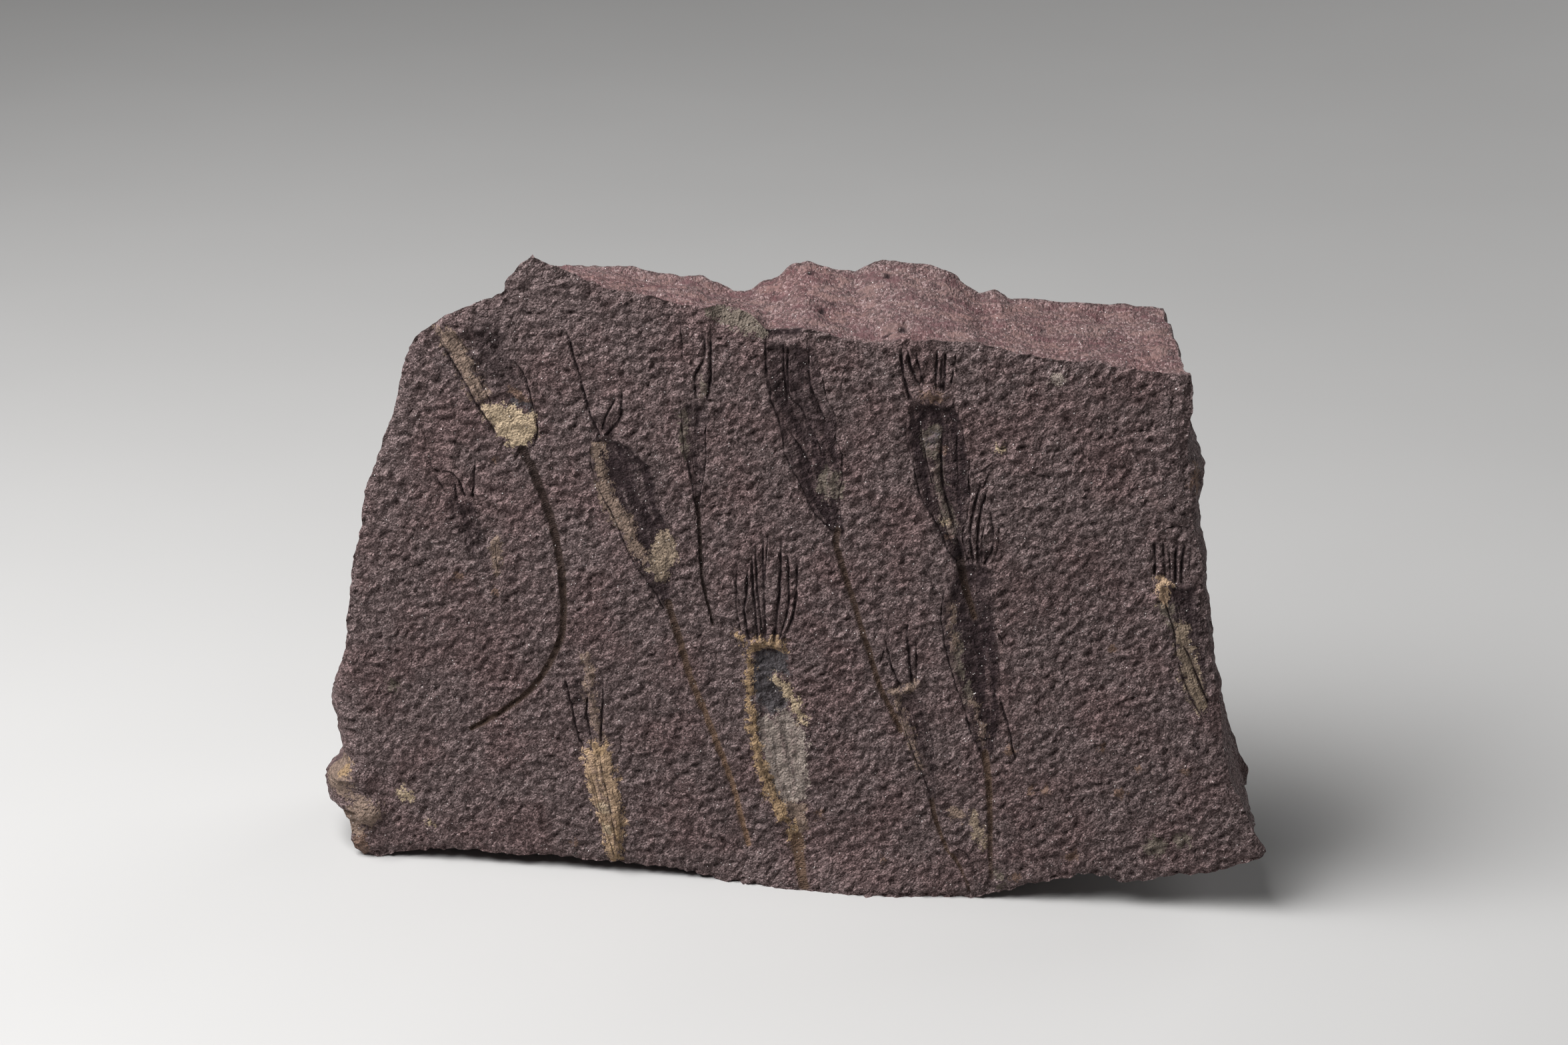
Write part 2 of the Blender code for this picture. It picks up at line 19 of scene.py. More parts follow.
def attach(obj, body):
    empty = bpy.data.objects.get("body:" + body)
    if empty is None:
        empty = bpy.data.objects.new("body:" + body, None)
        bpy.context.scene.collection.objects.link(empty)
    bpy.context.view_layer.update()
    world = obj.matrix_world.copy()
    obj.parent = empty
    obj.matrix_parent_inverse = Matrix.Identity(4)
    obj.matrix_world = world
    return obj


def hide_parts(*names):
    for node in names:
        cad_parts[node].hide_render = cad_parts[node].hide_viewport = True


bl_info = {
    "name": "Fossil Plate",
    "version": (1, 0, 0),
    "blender": (4, 5, 0),
    "location": "View3D > Sidebar > Fossil Plate",
    "description": "Adds a sandstone plate with stalked fossils, and a pale stage for it",
    "category": "Add Mesh",
}

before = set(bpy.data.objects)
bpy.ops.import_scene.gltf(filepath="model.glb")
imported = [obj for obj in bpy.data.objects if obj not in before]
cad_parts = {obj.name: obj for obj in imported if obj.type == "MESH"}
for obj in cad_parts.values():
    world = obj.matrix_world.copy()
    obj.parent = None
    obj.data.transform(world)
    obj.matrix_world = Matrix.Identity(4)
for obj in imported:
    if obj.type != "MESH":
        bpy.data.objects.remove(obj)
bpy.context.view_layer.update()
MM = 0.001

# Where the front face's own middle lies in the frame
PLACE = np.array([1.08, -17.47, 0.0])

# The four broken sides, each along the front edge and along the back edge
LEFT_FRONT = (
    (-95.5, 0), (-98.2, 1.6), (-99.1, 5), (-98.9, 8.8), (-97, 12.5), (-96.8, 17), (-97.1, 22),
    (-97.3, 28), (-98, 34.5), (-99.1, 41), (-99.8, 46), (-98.2, 51.5), (-97.5, 58), (-96.2, 67.5),
    (-95.4, 73.5), (-93.3, 80.5), (-92.7, 87), (-90, 95), (-86.2, 104.6), (-84.3, 111), (-81.4, 122.5),
    (-79.6, 125), (-74, 129.5), (-70.5, 130.9), (-66.5, 133.5), (-62.8, 134.3), (-60.1, 136.1),
    (-59.8, 138.5), (-56.5, 142.4), (-53.7, 144.5),
)
LEFT_BACK = (
    (-94, 0.3), (-100.5, 2.5), (-103, 9), (-104, 20), (-103.5, 34), (-102.5, 46), (-100, 58),
    (-98.5, 70), (-95.5, 84), (-91, 94), (-86.5, 104), (-81, 112.5), (-74, 119), (-67, 123.5),
    (-60.2, 131),
)
TOP_FRONT = (
    (-53.7, 144.5), (-49, 142.2), (-41, 139.4), (-38, 137.8), (-28, 136.8), (-24.5, 135.6),
    (-14, 134.7), (-6, 132.4), (-4, 130.4), (2, 130.1), (4.3, 131), (13, 129.3), (19.5, 128.6),
    (25, 130), (40, 129.9), (50, 128), (59, 126.7), (64.5, 127.2), (75, 125.7), (85.2, 125),
)
TOP_BACK = (
    (-60.2, 131), (-43.4, 131.7), (-37.1, 131.1), (-28.7, 129.9), (-23.4, 129.8), (-16, 127.5),
    (-12.4, 127.9), (-9.7, 130), (-6.6, 131), (-3.4, 133.6), (0.2, 134.5), (6, 133), (10.2, 132.8),
    (12.3, 134.2), (16.5, 135.7), (26, 135.2), (30.2, 134.3), (35.5, 130.4), (37.6, 129), (40.7, 129.7),
    (44.4, 128.2), (62.8, 127.9), (77.5, 127.3),
)
RIGHT_FRONT = (
    (85.2, 125), (86, 121), (85.3, 113), (85.3, 108), (86.2, 100), (86.8, 92), (89, 84), (90.5, 75),
    (91.5, 66), (93.2, 57), (94.7, 48), (95.6, 40), (98, 32), (101.6, 24.5), (105, 17.6), (105.9, 16),
    (105.1, 14.6),
)
RIGHT_BACK = (
    (77.5, 127.3), (79.5, 121), (82, 104), (84, 88), (88, 70), (90.5, 56), (93, 42), (96.5, 30),
    (100.5, 20), (101, 15),
)
BOTTOM_FRONT = (
    (105.1, 14.6), (98, 11.5), (93, 9), (86.5, 9.1), (80, 6.9), (77, 6.1), (73.5, 6.2), (71.7, 7.4),
    (67, 7.9), (57, 4.7), (49, 2.2), (41.5, 0), (26, 0), (8, 0), (-13, 0), (-17, 0.4), (-23, 1.9),
    (-31, 2.3), (-42, 2.8), (-57, 3.1), (-61, 2.4), (-70, 3), (-80, 2.5), (-88.5, 1.4), (-92, 0),
    (-95.5, 0),
)
BOTTOM_BACK = (
    (101, 15), (92, 11), (78, 8.5), (66, 7.5), (55, 4.5), (45, 2), (38, 0.3), (12, 0.3), (-14, 0.3),
    (-20, 1.6), (-32, 3), (-55, 3.4), (-78, 3), (-87, 0.8), (-94, 0.3),
)
# How far the two upright sides swell out behind the front edge, by height
LEFT_BULGE = (
    (0, 0.2), (8, 2), (12.5, 8), (17, 9.3), (20, 7.8), (22, 4.6), (27, 5), (37, 6.4), (41, 4.2),
    (46, 0.8), (60, 0.4), (144.5, 0),
)
RIGHT_BULGE = (
    (14.6, 0), (20, 0.3), (30, 0.8), (40, 1.8), (47, 0.8), (57, 0.6), (72, 1.8), (87, 2.6), (103, 3.2),
    (110, 1.4), (114, 0.6), (125, 0.6),
)
# The stretches of the lower edge that touch the surface below
FEET = ((-95.5, -91.5), (-13.5, 41.5))

# The front face leans forward at the middle foot
TOE_CENTRE, TOE_HALF_WIDTH = 12.0, 27.0
TOE_REACH, TOE_HEIGHT = 3.8, 13.0

# A chipped pit where a fossil runs out of the top edge, and the cut corner beside it
PIT_CENTRE, PIT_SIZE, PIT_DEPTH = (-0.6, 131.0), (5.0, 2.2), 2.4
CORNER_LEFT, CORNER_RIGHT, CORNER_END = -16.0, -4.5, 2.0
CORNER_HEIGHT, CORNER_SLOPE = 130.0, 0.8

# Round lumps on the lower left corner: centre, radius, height
NODULES = (((-94.6, 12), 3.8, 2.2), ((-98.2, 18.6), 4.2, 2), ((-96.4, 3.6), 2.6, 1))

# Cups: left edge and right edge from the top down, depth, and how dark the mould is at its
# top and at its bottom
CUPS = {
    "tall cup on the left": (
        ((-75.5, 127.5), (-73.3, 123.3), (-72, 120.5), (-70, 117), (-68, 113), (-64, 106), (-62, 103),
         (-59.5, 100.6)),
        ((-60, 127.5), (-58.5, 122), (-56.5, 119.3), (-55, 116), (-54.1, 112), (-53.6, 108.5),
         (-53.2, 105), (-53.7, 102.8), (-55.4, 100.6)),
        0.8, (0.35, 0.05),
    ),
    "slanting cup": (
        ((-41.5, 104.6), (-42, 101), (-41.8, 97), (-40.5, 93.5), (-39.3, 90.5), (-37, 86),
         (-34.5, 79.5), (-32.5, 75.5), (-30.5, 72.5), (-27, 66.4)),
        ((-37.5, 104.6), (-35, 104), (-32, 101), (-29, 98.5), (-27.5, 91), (-26, 87), (-24.3, 83),
         (-23.2, 79), (-24, 72), (-24.8, 66.4)),
        1, (0.9, 0.85),
    ),
    "slim cup": (
        ((-22.2, 113.6), (-22, 108), (-21.6, 103), (-20.5, 98), (-19.4, 91)),
        ((-16, 113.6), (-16.2, 110), (-17, 106), (-17, 100), (-18.4, 91)), 0.7, (0.65, 0.4),
    ),
    "long cup at the top": (
        ((-4, 128), (-4, 121), (-2.8, 115), (-1.3, 111), (-0.3, 106), (0.2, 102.5), (2, 99), (3.8, 95),
         (5.5, 91), (8, 88), (10.2, 85.6)),
        ((6.2, 128), (8, 121), (9, 116), (10.5, 113), (11.3, 109), (11, 107), (12.3, 103), (12.4, 98),
         (11.8, 94), (12, 90), (12.6, 85.6)),
        1.1, (0.55, 1),
    ),
    "dark cup": (
        ((26.5, 116), (26, 108), (27, 104), (28.3, 99), (29.5, 94.5), (31.5, 91), (33.5, 87),
         (35, 83.5), (37.2, 80.6)),
        ((35.8, 116), (37.5, 112), (38.3, 108), (39.3, 104.5), (39.5, 100), (39.8, 96), (39.3, 91),
         (38.5, 87), (38.9, 83), (39.8, 80.6)),
        1.2, (0.95, 0.9),
    ),
    "lower dark cup": (
        ((38.6, 80), (35.3, 75), (34.2, 68), (34.8, 62.5), (36, 57), (37.5, 52), (39.5, 46), (41, 40.5),
         (43.6, 35.6)),
        ((45, 80), (45.2, 74), (45, 69), (46, 64), (46.8, 58), (47.2, 53), (47.3, 42), (46.2, 38),
         (45.8, 35.6)),
        1, (0.8, 0.95),
    ),
    "bluish cup": (
        ((-8, 58.6), (-7.9, 54), (-8.2, 46), (-7.6, 40), (-6.9, 36), (-5.8, 31), (-3.5, 23), (-2, 19),
         (0.3, 14.5), (1.4, 10)),
        ((0, 58.6), (0.4, 54), (1.8, 50), (3.4, 45.4), (4.8, 41.4), (5, 37), (5, 24), (5.2, 19.5),
         (4.5, 14), (4.3, 10)),
        0.8, (0.15, 0.05),
    ),
    "cream cup": (
        ((-45, 31), (-45, 28), (-44.5, 24), (-43.5, 20), (-42.5, 15), (-41, 10), (-39.6, 4)),
        ((-39, 31), (-38.5, 27), (-37.3, 22), (-36.3, 17), (-36, 13), (-36.5, 4)), -0.7, (0, 0),
    ),
    "small cup": (
        ((24, 49.4), (24.6, 47), (26, 43), (28, 36), (30.6, 29.5), (32.3, 25), (32.5, 23.4)),
        ((29.4, 49.4), (31.3, 44.8), (32.9, 38.2), (33.7, 31.7), (34, 25), (33.9, 23.4)), 0.7,
        (0.35, 0.5),
    ),
    "cup on the right edge": (
        ((80.5, 78), (82.5, 72), (84, 67), (84.7, 62), (86.5, 56), (88.5, 51.5), (90.6, 47.8)),
        ((88, 78), (89.2, 70), (90.4, 62), (91.6, 55), (93, 47.8)), 0.9, (0.85, 0.7),
    ),
    "worn cup on the left": (
        ((-74.5, 88.4), (-73, 83), (-71.5, 79), (-70, 75)),
        ((-68.4, 88.4), (-66.5, 83), (-65.5, 79), (-66, 75)), 0.5, (0.7, 0.3),
    ),
}

# The edges of those cups, left 0 and right 1, that have a thin dark crack along them; its darkness is
# partly painted shade in the crack
CRACKED = {
    "slanting cup": (0,), "slim cup": (0, 1), "long cup at the top": (0, 1), "dark cup": (0, 1),
    "lower dark cup": (0,), "small cup": (0,), "cup on the right edge": (0,),
}

# Stems from the cup down: the line, its width at both ends, depth, then how dark and how
# tan it is at both ends
STEMS = {
    "long bent stem": (
        ((-57, 100.5), (-55, 97), (-53.7, 93), (-52, 88), (-50.8, 84), (-50, 80), (-49.3, 76),
         (-48.8, 72), (-48.6, 66), (-48.8, 61), (-49.3, 57.5), (-50.8, 53.5), (-52.8, 49.5), (-55, 46),
         (-58, 42.5), (-61.5, 39.5), (-65.5, 36.5), (-70.5, 33.3)),
        (2.2, 1.3), 0.8, (1, 0.9), (0, 0.2),
    ),
    "slanting stem": (
        ((-25.4, 66.8), (-24.6, 64), (-23.7, 61), (-22.5, 56.5), (-20.8, 50), (-19, 45), (-17, 40),
         (-15, 34.5), (-13, 29), (-11.2, 23), (-9.8, 17), (-8.6, 12), (-8, 9.3)),
        (1.9, 1.2), 0.6, (0.85, 1), (0.15, 1),
    ),
    "slim stem": (
        ((-18.9, 91.5), (-18.4, 84), (-18, 75), (-17.3, 70), (-16.2, 65), (-15.6, 62.5)), (1.1, 0.7),
        0.6, (1, 0.8), (0, 0),
    ),
    "longest stem": (
        ((11.6, 86), (11.2, 83), (12, 80), (13, 76.5), (15, 70), (17.3, 62), (18.8, 57.5), (20, 53),
         (21.2, 49.5), (22.5, 46.5), (24.3, 43), (25.7, 39.6)),
        (1.7, 1.4), 0.7, (0.7, 0.65), (0.12, 0.3),
    ),
    "dark stub": (
        ((38, 81), (38.6, 77), (39.5, 73), (40.6, 69.5), (41.3, 67.3)), (2, 1.3), 0.8, (1, 1), (0, 0.2),
    ),
    "short stem": (
        ((44.3, 35.6), (44.8, 32), (45.3, 28), (45.7, 20), (45.8, 16), (46, 10), (46.3, 5)), (1.9, 1.2),
        0.6, (0.75, 0.35), (0.35, 0.35),
    ),
    "wide stem": (((2.9, 11.6), (3.3, 8), (4.2, 3.5), (4.8, 1)), (3, 2.2), 0.7, (1, 1), (0.6, 0.35)),
    "thin stem": (
        ((32.8, 23.4), (33.7, 19), (35, 15), (36.5, 11.5), (38, 10), (40.5, 5), (41.5, 1.6)),
        (1.3, 0.8), 0.5, (1, 0.3), (0.2, 0.4),
    ),
}

# Arms, spines and cracks: thin grooves, grouped by their width, depth and darkness, the darkness partly
# their dark fill and partly painted shade in the grooves
ARMS = (
    (1.05, 0.6, 0.95, (
        ((-48.5, 128.5), (-46.3, 127), (-45.5, 124), (-44.5, 120), (-43.5, 116), (-42.3, 111),
         (-41, 107.5), (-40, 105)),
        ((-34.8, 117), (-35, 113), (-35.3, 109), (-38, 105.5)),
        ((-15.7, 130), (-15.8, 122), (-15.7, 119.5), (-16.5, 114.8)),
        ((-17, 130), (-17, 125), (-17.5, 122.5), (-19, 119.5), (-19, 114.8)),
        ((25, 128.4), (24.8, 126), (25.3, 122), (26.5, 117.6)),
        ((26, 128.4), (26.5, 125), (28, 121), (29.2, 118.5)), ((32.3, 128.6), (32.2, 125), (32.3, 119)),
        ((34, 128.6), (34, 122), (33.8, 119)),
        ((42.6, 100), (41.4, 96), (40.4, 90.5), (40.1, 86.5), (40.7, 80.7)),
        ((43.8, 98.4), (42.7, 94.6), (41.8, 89), (41.8, 80.7)),
        ((44, 93.2), (45, 88), (44.8, 83.6), (43.4, 80.5)),
        ((33.9, 113), (33.4, 105), (33.8, 97.6), (36.1, 89.2), (38.2, 81)),
        ((-8, 77), (-8.2, 70), (-8.8, 66), (-8.1, 61.4), (-7.6, 59.8)),
        ((-6.8, 81), (-7, 76), (-6.6, 70), (-6.2, 63), (-5.8, 59.8)),
        ((-4.7, 85.5), (-4.5, 72), (-4.2, 63), (-4, 59.8)),
        ((-0.7, 85.5), (-0.8, 79), (-1, 72), (-1.5, 66), (-2, 61.4), (-2.1, 59.6)),
        ((2.8, 80), (2.6, 72), (2.2, 67), (0.8, 62), (-0.3, 59.4)),
        ((27.4, 67), (26.9, 64), (27, 60), (27.6, 55), (28, 51.6)),
        ((81, 88), (81.2, 84), (81.6, 79.8)), ((84.3, 88.4), (83.8, 84.2), (83.9, 78.4)),
        ((79.1, 88), (79.4, 80)), ((85.6, 88), (85.2, 83.6), (85.1, 78.6)),
        ((-72.5, 92.5), (-72, 90.5), (-71.8, 88.5)),
    )),
    (0.85, 0.45, 0.85, (
        ((-36.3, 114), (-37.2, 111.5), (-38.6, 109), (-39.3, 106.5)), ((-4, 130), (-4, 121)),
        ((-0.3, 129), (-0.2, 124), (0, 119), (0.5, 115)),
        ((0.7, 129), (0.7, 119), (1, 116), (3.5, 113), (4.5, 110.5)),
        ((5, 129), (5.3, 120), (6, 117), (7.5, 113), (8.5, 111)),
        ((27.2, 128.8), (28.3, 125), (29.5, 120)), ((33.3, 127), (33.3, 122.5), (33.2, 119.5)),
        ((28.7, 62), (28.9, 52)), ((22, 62), (22.8, 58), (24.2, 53.2), (25.5, 50.4)),
        ((-6.3, 84.5), (-6, 73), (-5.2, 64), (-4.8, 60)), ((0.5, 82), (1, 72), (0.6, 66), (-0.9, 60)),
        ((-43.4, 45), (-44, 40), (-43.2, 32)), ((-40.4, 50), (-40.3, 43), (-40.9, 36), (-40.9, 33)),
        ((-49.3, 49), (-48.3, 45), (-47.2, 40), (-46.8, 37), (-46, 33), (-45, 31.3)),
        ((46.9, 50), (47.4, 48), (48.6, 44), (49.6, 40.5), (50.3, 37.5), (50.8, 35)),
        ((85.5, 65), (88, 60), (90, 55), (92, 51)),
        ((-67.3, 98), (-67.7, 95), (-68, 92), (-68.3, 89.5)),
        ((-76, 94), (-73, 94.5), (-71.5, 93), (-70.5, 91), (-70, 89)),
        ((-58.5, 121.5), (-56.5, 118.5), (-55, 114), (-54, 109), (-53.3, 105.5), (-54.6, 101.6)),
        ((-75.3, 126.8), (-73.3, 123), (-70.1, 117), (-66.1, 109.5), (-63, 104.2)),
        ((38, 11.3), (39, 12), (40.2, 11.3), (41.2, 9.8)),
    )),
    (0.7, 0.3, 0.6, (
        ((-49, 115.8), (-48.2, 113), (-47.3, 110.3)), ((-22.3, 134), (-22, 128), (-21.7, 123)),
        ((-4, 121), (-3, 117.5), (-2.7, 114.5), (-1.3, 111.3)),
        ((0, 109), (2.5, 105.5), (4.5, 102), (5.5, 100)), ((4.6, 110), (7, 106), (7.8, 103)),
        ((36.5, 127.6), (36, 125), (35.4, 121)), ((43.6, 91.5), (42.8, 87), (42.6, 80.7)),
        ((46, 90), (46.2, 85), (45, 81)),
        ((29.9, 113.4), (29.3, 108.1), (31.1, 99.7), (33.2, 92.3), (35.7, 84.4)),
        ((36.6, 111), (36.8, 104), (37.4, 97)), ((-43.6, 29), (-42.6, 22), (-40.2, 12), (-38.2, 5)),
        ((-41.2, 29.5), (-39.6, 20), (-37.6, 9)), ((40.9, 99), (42.5, 97.5), (43.7, 100.5)),
        ((45, 104), (43, 102), (41, 100.5)), ((46.4, 65), (47.5, 62)), ((46.5, 57), (47, 54.5)),
        ((-10.3, 79), (-10.5, 72), (-10.4, 66), (-9.6, 61.5)), ((-3.5, 85.5), (-3.9, 78), (-4.2, 73)),
        ((-38.7, 49), (-39.5, 46)), ((22.3, 60.5), (21.6, 58), (21, 55.5)),
        ((82.3, 86.5), (82.8, 79.3)), ((86.9, 88.6), (86.6, 82)),
        ((80.6, 89.8), (81.8, 90.8), (83.6, 91.3), (85.2, 91.1), (86.8, 90.3)),
        ((-78.5, 103.5), (-78, 101.5), (-78.5, 100)), ((-77.5, 98), (-77.3, 96), (-76, 94.3)),
        ((-76.5, 94), (-75.5, 91.5), (-74.5, 90)), ((-63.5, 79), (-63.5, 75.5), (-63.3, 72.5)),
        ((-71.3, 127.5), (-69.8, 124.3), (-67, 120.4), (-66.6, 117), (-64.3, 112.8), (-63.6, 110.5)),
        ((45, 107.6), (46.2, 106.6), (47.4, 107)),
    )),
)

# Raised ribs inside the cups, also painted lighter as a painted highlight: width, height and line
RIBS = (
    (3, 0.25, ((31.4, 108), (31.6, 103), (32.4, 97), (34.2, 91), (36.6, 85.5))),
    (0.7, 0.3, ((36.2, 108), (35.4, 101), (36.6, 94), (37.6, 88))),
    (1.2, 0.3, ((46.6, 64.5), (47.3, 60), (47.9, 55.2))),
    (2, 0.3, ((35.4, 73), (35.6, 66), (36.8, 57), (39, 49.2), (41.2, 43.7), (43.2, 39.3))),
    (3.4, 0.5, ((67.4, 97.4), (68.6, 96.4))), (4.2, 0.4, ((78.5, 98), (80.5, 95.5))),
    (1.1, 0.3, ((-43, 27), (-42, 23.5), (-41, 20), (-38.5, 12), (-37.5, 6))),
    (1.1, 0.3, ((-41, 26), (-39.5, 18), (-37, 11))),
    (1, 0.3, ((26, 44), (28, 39), (30.5, 33), (32, 27))),
    (1.1, 0.35, ((-6.2, 43.8), (-4.4, 42.6), (-2.7, 41), (-1.4, 38.2), (-0.4, 35), (0.2, 30))),
    (0.8, 0.3, ((-4.6, 38), (-2.6, 30), (-0.4, 22))), (0.8, 0.3, ((1.6, 38), (1.8, 30), (2.2, 22))),
    (0.9, 0.25, ((2.6, 40), (2.7, 36), (2.5, 33))),
    (1.2, 0.5, ((-16.4, 130), (-16.5, 124), (-17, 119.5), (-17.8, 115))),
    (1.2, 0.45, ((-44.1, 54), (-43.2, 48), (-42.9, 42.5), (-41.9, 36.8), (-41, 32.6))),
    (1.1, 0.35, ((2, 107), (4.6, 104), (6.2, 100.5))),
    (1.3, 0.4, ((7.5, 108), (9, 104), (10, 100), (9.6, 96), (9.4, 92))),
    (1, 0.3, ((41, 47), (42.2, 44), (43.5, 41), (44, 37))),
)

# Lumpy collars where the arms join a cup: line, width and height
COLLARS = (
    (((-10.3, 61), (-9.5, 59.4), (-7, 59.2), (-4, 60), (-1, 59.5), (-0.3, 58.2)), 2.2, 0.7),
    (((28, 117), (30, 118.2), (32, 118), (34, 117)), 2.4, 0.7),
    (((-45, 30.6), (-42.6, 32), (-39.4, 31)), 2, 0.6),
    (((-22, 114.2), (-19, 114.8), (-16.2, 114.7)), 1.3, 0.4),
    (((24, 48.8), (26.4, 49.8), (28.4, 50.5), (29.6, 51.5)), 1.2, 0.5),
    (((80, 77.6), (81.6, 73.6), (83.8, 69.4)), 1.6, 0.4),
)

# Crusts and stains: their finish, how far they stand up, and their outlines
CRUSTS = (
    ("cream", 0.45, (
        ((-66, 110), (-63, 110.7), (-60, 110.3), (-57, 109.5), (-54.3, 108.5), (-53.6, 105.5),
         (-54.5, 103), (-56, 101.8), (-57.5, 100.8), (-59.5, 101), (-61, 102.3), (-63, 105),
         (-65, 108)),
        ((-2.4, 51.8), (-1, 51), (0.5, 49.5), (2, 47), (3.4, 44.2), (4.6, 42), (4.6, 39.8), (3.1, 39.8),
         (2.5, 42), (1.3, 44.4), (0.1, 46.8), (-1.2, 48.6), (-2.6, 50)),
    )),
    ("ochre", 0.35, (
        ((0.6, 20), (4.8, 20.6), (4.6, 14), (4.2, 10), (1.8, 10.4)),
        ((40.8, 48), (42.2, 43.4), (43.6, 37.6), (44.5, 37.6), (43.6, 42.4), (41.8, 48)),
        ((-75.2, 127), (-73, 122.6), (-70.2, 117.2), (-66.4, 110.3), (-64.6, 110.8), (-64.3, 112.8),
         (-66.6, 117), (-67.2, 120.4), (-70, 124.3), (-71.5, 127.5)),
        ((-45, 54), (-44, 48), (-43.7, 42.5), (-42.7, 36.8), (-41.8, 32.6), (-40.4, 32.6), (-41, 37),
         (-42, 42.5), (-42.2, 48), (-43.2, 54)),
        ((36.2, 71), (35.6, 66), (36.6, 59.6), (37.4, 59.6), (36.8, 66), (37.3, 70.6)),
        ((24.2, 48), (25.6, 43.2), (27.6, 36.4), (30.2, 30), (31, 30.4), (28.8, 37), (26.8, 43.6),
         (25.2, 48)),
        ((23.6, 49.4), (24, 48.2), (28.6, 49.9), (29.8, 50.9), (29.4, 52), (28, 50.9)),
        ((-97.8, 15), (-95.2, 15.4), (-92.6, 13.6), (-91.8, 11.2), (-93.4, 8.8), (-96.8, 8),
         (-98.6, 11.6)),
        ((-64.2, 79.8), (-62.6, 79.8), (-62.2, 72), (-63.8, 71)),
        ((-41.6, 103), (-41.4, 98), (-40.4, 92), (-38.6, 87.6), (-35.4, 83), (-33.2, 78.6), (-31, 75.4),
         (-29.8, 76.4), (-31.8, 80.6), (-33.8, 86.6), (-37, 91), (-38.8, 96), (-39.2, 103)),
    )),
    ("sand", 0.35, (
        ((-44.8, 30.4), (-45, 27), (-43.5, 20), (-41, 10), (-39.6, 3.4), (-36.6, 3.4), (-36, 13),
         (-37.3, 22), (-39, 30.4)),
        ((79.8, 79), (80.4, 74), (82.6, 73.6), (82.8, 78.2), (81.6, 79.4)),
    )),
    ("gold", 0.4, (
        ((-8.5, 52), (-8.6, 45), (-7.8, 39), (-5.6, 27), (-3, 20), (-1, 15.5), (1, 15), (-0.6, 20),
         (-2.8, 25.5), (-5.6, 35.5), (-7, 45), (-6.9, 52)),
        ((-8.2, 57.6), (-8, 52.6), (-7, 52.6), (-6.8, 55), (-5.6, 56.7), (-4.4, 57), (-2, 57),
         (0.1, 57.2), (0.2, 59.9), (-3, 60), (-6.2, 59.6)),
        ((-10.8, 60.8), (-10.2, 58.8), (-8.4, 58.6), (-8.6, 60.4)),
        ((0.4, 15.4), (1.4, 10.2), (3.6, 10), (3, 13), (2, 16.6)),
        ((-44.4, 32.2), (-43.6, 30.4), (-39.6, 30.2), (-39.4, 31.6), (-42, 32.6)),
        ((-39.6, 14), (-38.6, 8), (-38.4, 3.4), (-36.6, 3.4), (-36.6, 9), (-37.6, 15)),
    )),
    ("olive", 0.3, (
        ((41.2, 21.6), (42.8, 20.8), (44.6, 16), (44.4, 13.4), (42.4, 14.6), (41.2, 18)),
        ((84.2, 70), (84.6, 62), (87.4, 53.8), (90.2, 48.2), (92, 50.6), (90, 57), (88.4, 63.4),
         (86.2, 68.6)),
        ((-28.5, 81), (-26.8, 83.5), (-24.3, 83), (-23, 78), (-24.5, 76.5), (-25.2, 74), (-26, 71.5),
         (-28, 72.5), (-30, 74), (-29.5, 78)),
    )),
    ("slate", 0, (
        ((-7, 57), (-7, 46), (-5.4, 42.4), (-3, 41), (0, 43), (1.4, 45), (0, 47.6), (-2.4, 50.8),
         (-0.6, 51.6), (1, 51), (0, 57)),
        ((-59.4, 112.4), (-55.4, 111.8), (-54.6, 109.4), (-59, 110.6)),
        ((30.4, 108.4), (30.4, 106.4), (32.4, 106.2), (32.6, 108.4)),
    )),
    ("chalk", 0.2, (
        ((-6.2, 42), (-6.2, 38), (-4.6, 30), (-2.4, 22.6), (0, 19.6), (4.8, 20.6), (5, 30), (4.8, 38),
         (2.4, 40.6), (0.6, 43), (-3, 40.6)),
    )),
    ("rust", 0, (
        ((-98.6, 5), (-98, 1.6), (-96, 0.8), (-95, 4), (-96.8, 6.4)),
        ((-59, 114.2), (-56.6, 113.8), (-54.8, 112.6), (-56, 111.6), (-58, 112.2)),
        ((28.6, 118.2), (29.2, 116.6), (31.6, 116.4), (33.8, 117), (33.2, 118.4), (30.4, 118.8)),
        ((1.8, 12), (2.6, 8), (3.6, 8), (3.6, 12)),
    )),
    ("film", 0, (
        ((-16.4, 134.4), (-14.6, 131.8), (-9, 130), (-4.4, 129), (-4.2, 131.6), (-8, 133.2)),
        ((29.4, 109.6), (29.8, 104), (32, 102.4), (33.2, 104.6), (33.2, 109.4), (31.4, 110.6)),
        ((6.5, 98), (9, 99.3), (12, 98.6), (11.9, 93.6), (9, 92.9), (7, 94.5)),
        ((80.2, 73.6), (83.6, 67), (84.9, 68.4), (82.6, 74.6)),
        ((-22.4, 112.6), (-22.2, 103), (-21.2, 100.6), (-21, 103), (-21.2, 112.8)),
        ((-18, 120), (-17.6, 117.4), (-18, 115.6), (-17.1, 115.6), (-16.7, 118)),
        ((31.6, 103), (33.2, 103), (34.8, 95), (37.2, 87), (36.4, 84.6), (33.6, 90), (32.2, 96)),
        ((35.8, 65), (37.4, 65), (38.6, 56), (41.2, 48), (40.2, 47.4), (37.4, 55)),
    )),
)

